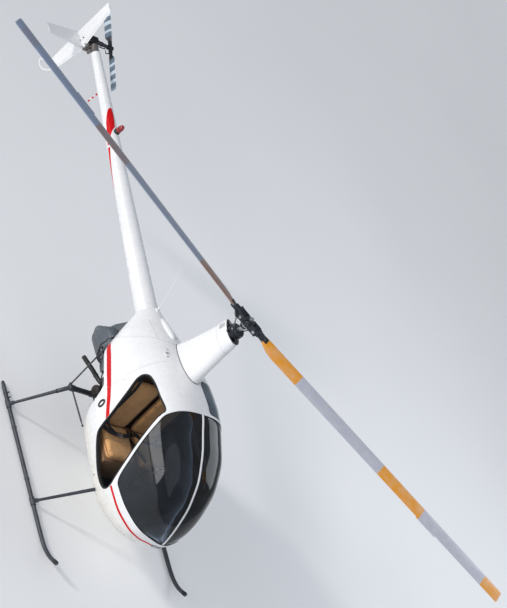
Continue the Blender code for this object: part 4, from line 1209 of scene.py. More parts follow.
# Rotor head. In its own frame u runs out along the front blade, v is ahead as it turns
HUB_Z = 2.593
ROTOR_TURN = math.radians(42.8)
CONE = math.radians(2.85)
HUB_FRAME = Matrix.Translation((0, 0, HUB_Z)) @ Matrix.Rotation(ROTOR_TURN - math.pi / 2, 4, "Z")
HALF = Matrix.Rotation(math.pi, 4, "Z")


def fin_rows(start, stop, low, high, count):
    """Rows of a ribbed bar: the radius steps between low and high."""
    along = np.linspace(start, stop, count * 4)
    step = np.tile([0, 1, 1, 0], count)
    return np.column_stack([along, low + (high - low) * step])


swash_fixed = joined(turned_ring((0, 0, 2.366), Z, [(0.0, 0.037), (0.0, 0.074), (0.004, 0.079),
    (0.016, 0.08), (0.018, 0.076), (0.024, 0.076), (0.026, 0.083), (0.044, 0.085), (0.048, 0.082),
    (0.048, 0.037)], 56), *[brick(*box) for box in ((-0.014, 0.014, -0.115, -0.07, 2.372, 2.392, 0.004),
    (-0.014, 0.014, 0.07, 0.112, 2.372, 2.392, 0.004), (0.066, 0.104, -0.014, 0.014, 2.372, 2.392, 0.004),
    (-0.104, -0.066, -0.014, 0.014, 2.372, 2.392, 0.004))])
push_rods = joined(*[joined(bar((x, y, 2.3), (x * 1.02, y * 1.02, 2.384), 0.0065),
    turned((x - 0.012, y, 2.386), X, pill(0.012, 0.0085, 0.002) + (0.012, 0), 16))
    for x, y in ((0.0, -0.102), (0.06, 0.035), (-0.06, 0.035))])
boot = turned_ring((0, 0, 2.338), Z, [(0.0, 0.036), (0.0, 0.056), (0.004, 0.06), (0.008, 0.052),
    (0.012, 0.059), (0.016, 0.051), (0.02, 0.057), (0.024, 0.049), (0.028, 0.049), (0.028, 0.036)], 40)
make("swashplate_lower", [(HUB_DARK, swash_fixed), (BLACK, push_rods), (RUBBER, boot)],
    ("swashplate_fixed",), 42)

swash_turning = turned_ring((0, 0, 2.42), Z, [(0.0, 0.0335), (0.0, 0.082), (0.003, 0.085), (0.014, 0.085),
    (0.017, 0.081), (0.026, 0.08), (0.026, 0.052), (0.02, 0.046), (0.02, 0.0335)], 56)
mast_rows = [(0.0, 0.0292), (0.0015, 0.03), (0.265, 0.03), (0.267, 0.0345), (0.282, 0.0345), (0.284, 0.03),
    (0.345, 0.03), (0.35, 0.038), (0.3985, 0.04), (0.3988, 0.03)]
mast = turned((0, 0, 2.1508), Z, mast_rows, 48)


def one_side_of_hub():
    """What the hub carries towards one blade: cheeks, coning bolt, ribbed boot, spindle housing, horn and
    link."""
    cheeks = joined(*[brick(0.03, 0.148, v - 0.011, v + 0.011, -0.036, 0.04, 0.009, 3)
        for v in (-0.046, 0.046)])
    bolt_bar = turned((0.104, -0.072, 0.003), Y, [(0, 0.01), (0.001, 0.017), (0.01, 0.019), (0.012, 0.014),
        (0.132, 0.014), (0.134, 0.019), (0.143, 0.017), (0.144, 0.01)], 24)
    housing = turned((0.075, 0, 0.0045), (1, 0, 0.05), [(0, 0.03), (0.012, 0.036), (0.06, 0.036),
        (0.066, 0.043), (0.092, 0.044), (0.098, 0.037), (0.13, 0.035), (0.149, 0.031)], 36)
    ribs = turned((0.083, 0, 0.0045), (1, 0, 0.05), fin_rows(0.0, 0.052, 0.033, 0.0395, 5), 36)
    horn = tube(smooth_path([(0.178, 0.02, 0.004), (0.17, 0.062, 0.002), (0.14, 0.096, -0.006),
        (0.12, 0.104, -0.012)], 8), np.linspace(0.015, 0.009, 25), 14)
    rod_end = turned((0.12, 0.094, -0.014), Y, pill(0.01, 0.012, 0.003) + (0.01, 0), 20)
    link = bar((0.119, 0.104, -0.018), (0.052, 0.066, -0.15), 0.0052, 12)
    sleeve = bar((0.103, 0.095, -0.05), (0.071, 0.077, -0.112), 0.0078, 6)
    eye = turned((0.05, 0.056, -0.152), (0.3, 1, 0), pill(0.01, 0.0115, 0.003) + (0.01, 0), 20)
    root_plate = brick(0.196, 0.262, -0.036, 0.034, -0.015, 0.021, 0.01, 3)
    bolts = joined(*[bolt((u, v, 0.021), Z, 0.0065, 0.006) for u in (0.212, 0.246)
        for v in (-0.018, 0.018)])
    weight = turned((0.15, -0.06, 0.02), (0, -1, 0.2), pill(0.012, 0.015, 0.004), 20)
    return ([(HUB_DARK, cheeks), (HUB_DARK, housing), (RUBBER, ribs), (STEEL, bolt_bar), (HUB_DARK, horn),
        (HUB_DARK, weight), (DULL, rod_end, eye), (BLACK, link), (DULL, sleeve), (HUB_DARK, root_plate),
        (DULL, bolts)])


hub_core = joined(brick(-0.058, 0.058, -0.036, 0.036, -0.0425, 0.046, 0.014, 4),
    turned((0, -0.078, 0.004), Y, [(0, 0.012), (0.002, 0.024), (0.012, 0.027), (0.016, 0.033),
    (0.036, 0.034), (0.12, 0.034), (0.14, 0.033), (0.144, 0.027), (0.154, 0.024), (0.156, 0.012)], 32))
hub_top = joined(turned((0, 0, 0.044), Z, [(0, 0.03), (0.006, 0.03), (0.007, 0.024), (0.018, 0.023),
    (0.021, 0.019)], 6), turned((0, 0, 0.06), Z, [(0, 0.013), (0.012, 0.013), (0.016, 0.009)], 24))
hub_bits = [(HUB_DARK, moved(hub_core, HUB_FRAME)), (STEEL, moved(hub_top, HUB_FRAME))]
for turn in (Matrix.Identity(4), HALF):
    hub_bits += [(look, moved(joined(*forms), HUB_FRAME @ turn)) for look, *forms in one_side_of_hub()]
make("rotor_head", hub_bits, ("rotor_hub",), 40, "main_rotor")
scissors = moved(joined(bar((-0.079, 0.0, -0.158), (-0.098, 0.0, -0.11), 0.006),
    bar((-0.098, 0.0, -0.11), (-0.036, 0.0, -0.062), 0.006), turned((-0.098, -0.01, -0.11), Y,
    pill(0.01, 0.009, 0.002) + (0.01, 0), 16)), HUB_FRAME @ Matrix.Rotation(math.radians(62), 4, "Z"))
collar = turned_ring((0, 0, 2.515), Z, [(0, 0.0302), (0, 0.04), (0.004, 0.043), (0.014, 0.043),
    (0.018, 0.04), (0.018, 0.0302)], 36)
make("swashplate_upper", [(HUB_DARK, swash_turning), (BLACK, scissors), (HUB_DARK, collar)],
    ("swashplate_turning",), 42, "main_rotor")
make("mast_tube", [(STEEL, mast)], ("rotor_mast",), 35, "main_rotor")

# Blades: distance out, chord, leading edge ahead of the pitch line, pitch in degrees, thickness as part
# of the chord
BLADE = np.array([(0.225, 0.1, 0.046, 13.0, 0.26), (0.27, 0.132, 0.052, 12.9, 0.18),
    (0.34, 0.168, 0.055, 12.8, 0.13), (0.43, 0.183, 0.055, 12.6, 0.105), (1.2, 0.183, 0.055, 11.0, 0.104),
    (2.0, 0.183, 0.055, 9.3, 0.104), (2.8, 0.183, 0.055, 7.6, 0.104), (3.4, 0.183, 0.055, 6.3, 0.104),
    (3.81, 0.183, 0.055, 5.45, 0.104), (3.826, 0.172, 0.05, 5.4, 0.09), (3.835, 0.156, 0.042, 5.4, 0.05)])


def foil(count=22):
    """An aerofoil section: the known four-digit thickness curve on a faintly cambered line, as chord
    share and height for unit thickness, over the top and back underneath."""
    c = (1 - np.cos(np.linspace(0, np.pi, count))) / 2
    half = 5 * (0.2969 * np.sqrt(c) - 0.126 * c - 0.3516 * c**2 + 0.2843 * c**3 - 0.1015 * c**4)
    half[-1] = 0.02
    bow = 4 * c * (1 - c)
    return [np.concatenate([over, under[-2:0:-1]]) for over, under in ((c, c), (half, -half), (bow, bow))]


def blade_form(rows, stations, camber=0.013):
    """A blade: at each station out, the section is scaled by the chord, thickened, bowed and turned by
    its pitch."""
    c, half, bow = foil()
    chord, ahead, pitch, thick = (column[:, None] for column in knots(rows, stations).T)
    p = np.radians(pitch)
    v = ahead - c * chord
    w = (half * thick + bow * camber) * chord
    out = np.broadcast_to(stations[:, None], v.shape)
    return loft(np.stack([out, v * np.cos(p) - w * np.sin(p), v * np.sin(p) + w * np.cos(p)], axis=-1))


STATIONS = np.concatenate([np.linspace(0.225, 0.56, 16), np.linspace(0.6, 3.8, 60),
    [3.81, 3.818, 3.826, 3.831, 3.835]])
CONED = Matrix.Rotation(-CONE, 4, "Y")


def blade_bits():
    """Trim tab, root doublers with their bolts, and the tip's weight screws."""
    p = math.radians(7.2)
    tab = moved(brick(2.62, 2.9, -0.146, -0.126, -0.0012, 0.0012, 0.0005), Matrix.Rotation(p, 4, "X"))
    root = moved(joined(brick(0.24, 0.284, -0.04, 0.034, 0.0085, 0.016, 0.003),
        brick(0.24, 0.284, -0.04, 0.034, -0.013, -0.004, 0.003),
        *[bolt((0.273, v, 0.016), Z, 0.006, 0.005) for v in (-0.024, -0.003, 0.018)]),
        Matrix.Rotation(math.radians(12.8), 4, "X"))
    screws = moved(joined(*[turned((3.77, v, 0.0085), Z, [(0, 0.0045), (0.0016, 0.0035)], 12)
        for v in (0.02, 0.0, -0.02)]), Matrix.Rotation(math.radians(5.5), 4, "X"))
    return tab, root, screws


for name, node, turn, look in (("blade_front", "main_blade_front", Matrix.Identity(4), BLADE_FRONT_LIT),
        ("blade_rear", "main_blade_rear", HALF, BLADE_REAR_SHADED)):
    place = HUB_FRAME @ turn @ CONED
    tab, root, screws = (moved(form, place) for form in blade_bits())
    make(name, [(look, moved(blade_form(BLADE, STATIONS), place)), (look, tab), (HUB_DARK, root),
        (DULL, screws)], (node,), 40, "main_rotor")


# Tail cone, fins and tail rotor


def cone_radius(along):
    """The cone's radius falls evenly along its axis."""
    return CONE_SPREAD[0] + (CONE_SPREAD[1] - CONE_SPREAD[0]) * along / CONE_LONG


CONE_UP = unit(np.cross(X, CONE_AIM))


def cone_normal(a):
    """Square to the cone's axis: right by the cosine and up by the sine."""
    return np.cos(a)[..., None] * X + np.sin(a)[..., None] * CONE_UP


def cone_at(along, a, out=0.0):
    """A point of the tail cone's skin: along its axis in metres, and the angle from right (180) over the
    top (90)."""
    along = np.asarray(along, float)
    return CONE_FRONT + along[..., None] * CONE_AIM + (cone_radius(along) + out)[..., None] * cone_normal(a)


cone_s = np.linspace(0.0, CONE_LONG, 40)[:, None]
cone_outer, cone_inner = (cone_at(cone_s, angles(72), out) for out in (0.0, -0.003))
joints = (0.115, 0.6, 1.1, 1.62, 2.16, 2.72, 3.28)
laps = joined(*[turned_ring(CONE_FRONT + CONE_AIM * s, CONE_AIM,
    [(0, r - 0.001), (0, r + 0.0007), (0.03, r + 0.0004), (0.03, r - 0.002)], 72) for s in joints
    for r in [cone_radius(s)]])
rivets = []
for s in joints:
    for step in (0.008, 0.022):
        a = angles(24, 0.5)
        rivets += [turned(p - n * 0.0005, n, [(0, 0.0024), (0.0016, 0.0021), (0.0021, 0.0012)], 8)
            for p, n in zip(cone_at(np.full(24, s + step), a), cone_normal(a))]
spine = []
for a in np.radians([-92, -88]):
    for s in np.linspace(0.16, 3.36, 66):
        p, n = cone_at(s, a), cone_normal(a)
        spine.append(turned(p - n * 0.0005, n, [(0, 0.0022), (0.0016, 0.0018)], 6))
make("tail_cone_skin", [(WHITE, hoop(np.concatenate([cone_outer, cone_inner[::-1]]))), (WHITE, laps),
    (FASTENER, *rivets, *spine)], ("tail_cone",), 40)
collar_rows = [(0.085, 0.1205), (0.085, 0.129), (0.1, 0.1335), (0.112, 0.13), (0.122, 0.1225)]
make("tail_cone_collar", [(WHITE, turned_ring(CONE_FRONT - CONE_AIM * 0.04, CONE_AIM, collar_rows, 72))])

# The red flash on the cone: along, its edge on the right side, its edge over the top, in degrees
FLASH_MAIN = np.array([(2.405, 172.0, 98.0), (2.45, 170.0, 92.0), (2.5, 163.0, 87.0), (2.56, 152.0, 83.0),
    (2.61, 139.0, 84.0), (2.645, 124.0, 88.0), (2.662, 104.0, 96.0)])
FLASH_LINE = np.array([(1.56, 222.0, 220.0), (1.7, 219.0, 211.0), (1.85, 214.0, 200.0), (2.0, 208.0, 188.0),
    (2.15, 198.0, 172.0), (2.27, 189.0, 154.0), (2.35, 180.0, 130.0), (2.405, 172.0, 98.0)])


def flash(rows, count):
    """A painted area of the cone between two edges whose angles follow the rows along it."""
    s = np.linspace(rows[0, 0], rows[-1, 0], count)
    low, high = knots(rows, s).T[..., None]
    a = np.radians(low + (high - low) * np.linspace(0, 1, 24))
    return patch(cone_at(s[:, None], a), cone_normal(a), 0.0006)


make("tail_cone_flash", [(RED_GLOSS, flash(FLASH_MAIN, 30), flash(FLASH_LINE, 60))], angle=50)

lamp_foot = cone_at(2.34, np.array(math.pi / 2))
beacon_bits = [(BLACK, turned(lamp_foot - CONE_UP * 0.01, Z,
    [(0, 0.034), (0.016, 0.037), (0.03, 0.037), (0.034, 0.034), (0.04, 0.033)], 32)),
    (LENS_RED, turned(lamp_foot + (0, 0, 0.028), Z, [(0, 0.033), (0.03, 0.0325), (0.055, 0.031),
    (0.07, 0.027), (0.08, 0.019), (0.084, 0.009), (0.085, 0.0)], 32)),
    (BLACK, turned_ring(lamp_foot + (0, 0, 0.062), Z, [(0, 0.03), (0, 0.0335), (0.003, 0.0335),
    (0.003, 0.03)], 32))]
make("beacon_lamp", beacon_bits, ("beacon",), 40)
rod_top = np.array([0, 3.745, 1.59])
rod_low = np.array([0, 3.75, 1.405])
bands = [rod_low + (rod_top - rod_low) * k / 6 for k in range(7)]
rod_parts = [(look, bar(a, b + (0, 0, 0.0005), 0.0088)) for look, a, b in zip([RED_GLOSS, WHITE] * 3,
    bands[:-1], bands[1:])]
rod_parts.append((DULL, turned((0, 3.745, 1.568), Z, [(0, 0.014), (0.008, 0.016), (0.016, 0.016)], 20)))
make("tail_sensor_rod", rod_parts, ("tail_rod",), 40)

TAIL_AXIS = (4.394, 1.708)
FIN_X = -0.085
FIN_ROWS = 16


def fin_form(root, tip, half_root, half_tip, place, rows=20, close=0.01):
    """A tapered fin: each section is a thin drop from its leading to its trailing point, and the last
    rows shrink to round the tip. place turns section and span numbers into a point."""
    c, half = foil(FIN_ROWS)[:2]
    share = np.concatenate([np.linspace(0, 1, rows), 1 + np.array([0.35, 0.7, 0.92, 1.0]) * close])
    shrink = np.concatenate([np.ones(rows), np.sqrt(1 - np.array([0.35, 0.7, 0.92, 0.999]) ** 2)])
    start, stop = (np.array(low) + (np.array(high) - low) * share[:, None] for low, high in zip(root, tip))
    middle = (start + stop) / 2
    start, stop = middle + (start - middle) * shrink[:, None], middle + (stop - middle) * shrink[:, None]
    thick = (half_root + (half_tip - half_root) * share) * shrink
    line = start[:, None] + (stop - start)[:, None] * c[None, :, None]
    off = half[None] * thick[:, None] * 1.05
    return loft(place(line, off))


def upright(line, off):
    """Section lines of y and z stood at the fins' place, thick along x."""
    return np.stack([FIN_X + off, line[..., 0], line[..., 1]], axis=-1)


upper_fin = fin_form([(4.325, 1.6), (4.575, 1.6)], [(4.478, 2.106), (4.613, 2.108)], 0.014, 0.009, upright)
lower_fin = fin_form([(4.322, 1.6), (4.575, 1.6)], [(4.371, 1.134), (4.521, 1.104)], 0.014, 0.009, upright)


def stabiliser_form():
    """The level fin: drops in y and z at even steps out along x, the last three smaller to round the
    tip."""
    c, half = foil(FIN_ROWS)[:2]
    span = np.concatenate([np.linspace(0, 1, 20), 1 + np.array([0.004, 0.008, 0.011])])[:, None]
    shrink = np.concatenate([np.ones(20), [0.93, 0.75, 0.3]])[:, None]
    x, y0, y1, thick = (a + (b - a) * span for a, b in ((FIN_X - 0.008, -0.584), (4.318, 4.355),
        (4.58, 4.512), (0.012, 0.008)))
    y = y0 + (y1 - y0) * c
    return loft(np.stack([np.broadcast_to(x, y.shape), y, 1.6 + half * (thick * shrink)], axis=-1))


fin_seams = joined(*[tube([(FIN_X - 0.0148, y0, z0), (FIN_X - 0.0125, y1, z1)], 0.0008, 6, domed=False)
    for y0, z0, y1, z1 in ((4.352, 1.64, 4.492, 2.09), (4.35, 1.56, 4.388, 1.15))])
guard_path = smooth_path([(FIN_X, 4.395, 1.128), (FIN_X, 4.42, 1.055), (FIN_X, 4.5, 0.975),
    (FIN_X, 4.6, 0.955), (FIN_X, 4.64, 0.985), (FIN_X, 4.6, 1.02), (FIN_X, 4.505, 1.105)], 10)
make("upper_fin_skin", [(WHITE, upper_fin)], ("upper_fin",), 50)
make("lower_fin_skin", [(WHITE, lower_fin), (SEAM, fin_seams)], ("lower_fin",), 50)
make("stabiliser_skin", [(WHITE, stabiliser_form())], ("stabiliser",), 50)
make("tail_guard_loop", [(WHITE, tube(guard_path, 0.0088, 16))], ("tail_guard",))
bracket_bits = [(DULL_WARM, brick(FIN_X + 0.013, -0.053, 4.302, 4.47, 1.59, 1.684, 0.008, 3),
    brick(FIN_X - 0.014, -0.06, 4.306, 4.326, 1.596, 1.69, 0.004),
    brick(FIN_X + 0.03, -0.02, 4.262, 4.33, 1.604, 1.668, 0.01, 3)),
    (DULL, *[bolt((FIN_X - 0.015, y, z), -X, 0.007, 0.006) for y, z in ((4.345, 1.66), (4.345, 1.605),
    (4.44, 1.66), (4.44, 1.605))])]
make("tail_bracket_plate", bracket_bits, ("tail_bracket",), 40)
gear_rows = [(0, 0.038), (0.006, 0.044), (0.016, 0.046), (0.02, 0.041), (0.032, 0.041), (0.034, 0.047),
    (0.042, 0.047), (0.044, 0.041), (0.06, 0.041), (0.062, 0.047), (0.07, 0.047), (0.072, 0.041),
    (0.088, 0.04), (0.096, 0.036)]
gear_case = joined(turned((-0.05, 4.394, 1.706), X, gear_rows, 44),
    *[brick(-0.046, 0.046, y - 0.0025, y + 0.0025, 1.655, 1.752, 0.002) for y in (4.352, 4.366, 4.38, 4.408,
    4.422)], turned((0, 4.394, 1.738), Z, [(0, 0.014), (0.012, 0.014), (0.014, 0.01), (0.02, 0.009)], 6))
gear_neck = turned(CONE_BACK + CONE_AIM * 0.002, CONE_AIM, [(0, 0.052), (0.008, 0.052), (0.01, 0.046),
    (0.06, 0.044), (0.115, 0.038)], 44)
flange_bolts = joined(*[bolt(CONE_BACK + CONE_AIM * 0.01 + 0.0475 * spoke, CONE_AIM, 0.0045, 0.004)
    for spoke in cone_normal(np.radians(np.arange(0, 360, 45)))])
make("tail_gear_case", [(BLACK, gear_case), (DULL_WARM, gear_neck), (DULL, flange_bolts)],
    ("tail_gearbox",), 40)
shaft = joined(turned((0.046, *TAIL_AXIS), X, [(0, 0.034), (0.01, 0.034), (0.014, 0.029), (0.07, 0.025),
    (0.074, 0.028), (0.084, 0.028), (0.088, 0.023), (0.15, 0.02), (0.1725, 0.02)], 32),
    bar((0.055, 4.352, 1.69), (0.185, 4.362, 1.692), 0.006), bar((0.185, 4.362, 1.692),
    (0.205, 4.394, 1.68), 0.005))
make("tail_shaft_housing", [(HUB_DARK, shaft)], ("tail_shaft",), 40)

TAIL_HUB = np.array([0.264, *TAIL_AXIS])
TAIL_TURN = math.radians(14.0)
TO_SIDE = Matrix.Rotation(math.pi / 2, 4, "Z") @ Matrix.Rotation(math.pi / 2, 4, "X")
TAIL_BLADE = np.array([(0.03, 0.05, 0.025, 8.0, 0.3), (0.1, 0.06, 0.028, 8.0, 0.22),
    (0.15, 0.098, 0.035, 8.0, 0.125), (0.22, 0.098, 0.035, 8.0, 0.11), (0.515, 0.098, 0.035, 8.0, 0.105),
    (0.528, 0.092, 0.032, 8.0, 0.09), (0.535, 0.08, 0.026, 8.0, 0.05)])
TAIL_STATIONS = np.concatenate([np.linspace(0.03, 0.16, 10), np.linspace(0.18, 0.515, 20),
    [0.522, 0.528, 0.532, 0.535]])


def tail_place(turn):
    """The matrix from a blade's own frame to the tail rotor, turned about its axis."""
    return Matrix.Translation(TAIL_HUB) @ Matrix.Rotation(TAIL_TURN + turn, 4, "X") @ TO_SIDE


tail_hub_bits = [(HUB_DARK, turned((0.222, *TAIL_AXIS), X, [(0, 0.022), (0.003, 0.029), (0.02, 0.03),
    (0.024, 0.024), (0.06, 0.024), (0.064, 0.027), (0.074, 0.026), (0.078, 0.015)], 32)),
    (DULL, turned((0.296, *TAIL_AXIS), X, [(0, 0.013), (0.008, 0.012), (0.01, 0.009)], 6))]
for turn in (0.0, math.pi):
    grip = joined(turned((0.02, 0, 0), X, [(0, 0.02), (0.01, 0.023), (0.05, 0.023), (0.056, 0.019),
        (0.085, 0.016)], 24), brick(0.06, 0.13, -0.02, 0.018, -0.011, 0.011, 0.006, 3),
        *[bolt((u, v, 0.011), Z, 0.005, 0.004) for u in (0.08, 0.112) for v in (-0.01, 0.01)])
    horn = joined(tube([(0.06, 0.01, -0.006), (0.06, 0.04, -0.012), (0.052, 0.052, -0.026)], 0.006, 12),
        bar((0.052, 0.052, -0.026), (0.022, 0.04, -0.034), 0.0042))
    tail_hub_bits.append((HUB_DARK, moved(joined(grip, horn), tail_place(turn))))
make("tail_rotor_head", tail_hub_bits, ("tail_rotor_hub",), 40, "tail_rotor")
for name, node, turn in (("tail_blade_one", "tail_blade_aft", 0.0),
        ("tail_blade_two", "tail_blade_front", math.pi)):
    make(name, [(TAIL_LOOK, moved(blade_form(TAIL_BLADE, TAIL_STATIONS), tail_place(turn)))],
        (node,), 40, "tail_rotor")


# Landing gear: skids, legs with their saddles and elbows, cross tube and braces
SKID_X = 0.945
LEG_YS = (-0.871, 0.32)


def clamp_ring(centre, way, inner, outer, half, sides=28):
    """A collar round a bar, its rims rounded."""
    r = min(0.0025, (outer - inner) * 0.45)
    return turned_ring(centre, way, [(-half, inner), (-half, outer - r), (-half + r, outer),
        (half - r, outer), (half, outer - r), (half, inner)], sides)


skid_line = smooth_path([(0.606, 0.023), (0.2, 0.023), (-0.5, 0.023), (-1.23, 0.023), (-1.33, 0.0245),
    (-1.44, 0.035), (-1.56, 0.071), (-1.664, 0.133)], 10)
skid_path = even(np.column_stack([np.full(len(skid_line), SKID_X), skid_line]), 130)
skid_size = np.interp(skid_path[:, 1], [0.5, 0.56, 0.61], [0.0224, 0.0224, 0.015])
skid_bits = [(SLATE, both_sides(tube(skid_path, skid_size, 20)))]
tip_way = unit(skid_path[-1] - skid_path[-4])
skid_bits.append((SOOT, both_sides(turned(skid_path[-1] - tip_way * 0.04, tip_way,
    [(0, 0.0226), (0.002, 0.0238), (0.042, 0.0238), (0.047, 0.02)], 24))))
shoes = [brick(SKID_X - 0.0125, SKID_X + 0.0125, a, b, 0.0004, 0.006, 0.002) for a, b in ((-1.26, -0.98),
    (-0.74, -0.4), (-0.1, 0.2), (0.42, 0.55))]
skid_bits.append((DULL, both_sides(*shoes)))
saddles = [clamp_ring((SKID_X, y, 0.023), Y, 0.0222, 0.0285, 0.048) for y in LEG_YS]
saddles += [clamp_ring((SKID_X, y, 0.023), Y, 0.0222, 0.0262, 0.01) for y in (-0.6, 0.03, 0.46)]
for y in LEG_YS:
    for k in (-0.036, 0.036):
        saddles += [bolt((SKID_X + s * 0.0275, y + k, 0.03), (s, 0, 0.2), 0.0052, 0.005) for s in SIDES]
saddles += [turned((SKID_X, y, 0.044), Z, [(0, 0.0075), (0.03, 0.0075), (0.033, 0.005)], 16)
    for y in (0.385, 0.445)]
skid_bits.append((SLATE, both_sides(*saddles)))
make("skids", skid_bits, ("skid_left", "skid_right"))

LEGS = {"aft": ((0.54, 0.32, 0.5325), (SKID_X, 0.32, 0.03)),
    "front": ((0.425, -0.871, 0.4975), (SKID_X, -0.871, 0.03))}
leg_bits = []
for name, (top, foot) in LEGS.items():
    top, foot = np.array(top), np.array(foot)
    way = unit(foot - top)
    long = float(np.linalg.norm(foot - top))
    share = np.linspace(0, long, 60)
    size = np.interp(share, [0, long * 0.25, long * 0.8, long], [0.0195, 0.0185, 0.0155, 0.015])
    leg_bits.append((SLATE, both_sides(tube(top + way * share[:, None], size, 20))))
    leg_bits.append((SLATE, both_sides(turned(foot - way * 0.062, way,
        [(0, 0.0152), (0.004, 0.0205), (0.038, 0.0225), (0.046, 0.025), (0.06, 0.025)], 28))))
    leg_bits.append((DULL, both_sides(*[bolt(foot - way * 0.04 + Y * s * 0.0205, Y * s, 0.0058, 0.005)
        for s in (-1, 1)])))
(aft_top, aft_way), (front_top, front_way) = ((np.array(top), unit(np.array(foot) - top))
    for top, foot in LEGS.values())
leg_bits.append((SLATE, both_sides(turned(aft_top, aft_way, [(-0.012, 0.02), (-0.004, 0.0238),
    (0.118, 0.0226), (0.126, 0.019)], 28))))
leg_bits.append((RUBBER, both_sides(clamp_ring(aft_top + aft_way * 0.128, aft_way, 0.018, 0.0245, 0.006))))
in_skin = front_top + front_way * np.linspace(0, 0.2, 200)[:, None]
out_at = in_skin[int(np.argmin(np.abs(body_level(in_skin))))]
leg_bits.append((BLACK, both_sides(turned(out_at, front_way,
    [(-0.03, 0.04), (-0.004, 0.04), (0.014, 0.0335), (0.022, 0.027), (0.04, 0.024), (0.044, 0.019)], 36))))
make("gear_legs", leg_bits, ("leg_front_left", "leg_front_right", "leg_aft_left",
    "leg_aft_right"))

CROSS_Y, CROSS_Z = 0.32, 0.545
cross_path = np.column_stack([np.linspace(-0.52, 0.52, 50), np.full(50, CROSS_Y), np.full(50, CROSS_Z)])
cross_bits = [(SLATE, tube(cross_path, 0.0298, 28, domed=False))]
elbow_rows = [(-0.052, 0.0302), (-0.05, 0.0355), (-0.012, 0.0365), (0.01, 0.0355), (0.022, 0.03),
    (0.028, 0.018), (0.03, 0.0)]
cross_bits.append((SLATE, both_sides(turned((0.522, CROSS_Y, CROSS_Z), X, elbow_rows, 32))))
lug = prism([(0.306, 0.556), (0.354, 0.548), (0.366, 0.572), (0.35, 0.598), (0.33, 0.592)], 0.536, 0.545)
clamp_at = (0.215, CROSS_Y, CROSS_Z)
cross_bits.append((SLATE, both_sides(lug, bolt((0.545, 0.347, 0.574), X, 0.0075, 0.006),
    bolt((0.536, 0.347, 0.574), -X, 0.0075, 0.006), clamp_ring(clamp_at, X, 0.029, 0.0355, 0.022),
    brick(0.203, 0.227, CROSS_Y - 0.05, CROSS_Y + 0.05, CROSS_Z + 0.028, CROSS_Z + 0.04))))
cross_bits.append((RUBBER, both_sides(clamp_ring(clamp_at, X, 0.029, 0.0335, 0.028))))
make("rear_cross_tube", cross_bits, ("aft_cross_tube",))


def strut(start, end, r, eye=0.0125):
    """A brace: a round bar necked at both ends into a flat rod end."""
    start, end = np.asarray(start, float), np.asarray(end, float)
    long = float(np.linalg.norm(end - start))
    d = np.array([0, 0.012, 0.03, 0.05, 0.5 * long, long - 0.05, long - 0.03, long - 0.012, long])
    size = np.array([0.55, 0.6, 0.68, 1.0, 1.0, 1.0, 0.68, 0.6, 0.55]) * r
    body = tube(start + unit(end - start) * d[:, None], size, 14)
    across = unit(np.cross(end - start, (0.2, 1.0, 0.1)))
    ends = [turned(p - across * 0.006, across, [(0, eye), (0.012, eye)], 18) for p in (start, end)]
    return joined(body, *ends)


high_low, high_top = np.array((0.541, 0.337, 0.545)), np.array((0.2975, 0.6345, 0.993))
low_aft, low_front = np.array((0.505, 0.315, 0.545)), np.array((0.412, -0.088, 0.478))
make("gear_braces", [(SLATE, both_sides(strut(high_low, high_top, 0.0088),
    strut(low_aft, low_front, 0.0088)))], ("brace_high_left", "brace_high_right",
    "brace_low_left", "brace_low_right"))

# Engine: crankcase, four finned cylinders lying across, covers, pipes and its frame
CYLINDER_Z = 0.828
CYLINDER_YS = (0.118, 0.305)


def cylinder_form(y):
    """A finned barrel along x: thin discs whose radius follows the head's and the barrel's own outline."""
    fins = []
    for k in range(15):
        x = 0.112 + 0.0088 * k
        wide = 0.074 if k < 8 else 0.086
        fins.append(turned((x, y, CYLINDER_Z), X, [(0, wide - 0.002), (0.0008, wide), (0.0022, wide),
            (0.003, wide - 0.002)], 36))
    core = turned((0.095, y, CYLINDER_Z), X, [(0, 0.064), (0.09, 0.064), (0.094, 0.07), (0.14, 0.07),
        (0.15, 0.058)], 32)
    return joined(core, *fins)


engine_bits = []
case = [brick(-0.1, 0.1, 0.03, 0.4, 0.735, 0.92, 0.022, 4), brick(-0.07, 0.07, 0.045, 0.395, 0.905, 0.94,
    0.012, 3), turned((0, 0.395, CYLINDER_Z), Y, [(0, 0.09), (0.02, 0.085), (0.025, 0.06), (0.06, 0.05)],
    40)]
for y in (0.07, 0.15, 0.23, 0.31, 0.37):
    case.append(brick(-0.104, 0.104, y - 0.004, y + 0.004, 0.745, 0.912, 0.003))
engine_bits.append((CAST, *case))
engine_bits.append((CAST, both_sides(*[cylinder_form(y) for y in CYLINDER_YS])))
covers = []
for y in CYLINDER_YS:
    for z in (0.868, 0.788):
        covers.append(brick(0.243, 0.276, y - 0.056, y + 0.056, z - 0.029, z + 0.029, 0.011, 3))
        covers.append(brick(0.24, 0.247, y - 0.062, y + 0.062, z - 0.034, z + 0.034, 0.002))
        covers += [bolt((0.2765, y + k, z), X, 0.0048, 0.004) for k in (-0.04, 0.0, 0.04)]
engine_bits.append((DULL, both_sides(*covers)))
pipes = []
for y in CYLINDER_YS:
    pipes.append(tube(smooth_path([(0.218, y + 0.02, 0.752), (0.222, y + 0.03, 0.722),
        (0.2, 0.5 * (y + 0.3), 0.69), (0.165, 0.285, 0.672)], 8), 0.0205, 18))
    pipes.append(clamp_ring((0.218, y + 0.022, 0.748), (0, 0.1, -1), 0.019, 0.027, 0.004))
engine_bits.append((SOOT, both_sides(*pipes)))
intake = [tube(smooth_path([(0.06, 0.15, 0.712), (0.12, 0.5 * (0.15 + y), 0.7), (0.19, y - 0.03, 0.72),
    (0.222, y - 0.03, 0.756)], 8), 0.017, 16) for y in CYLINDER_YS]
engine_bits.append((DULL, both_sides(*intake)))
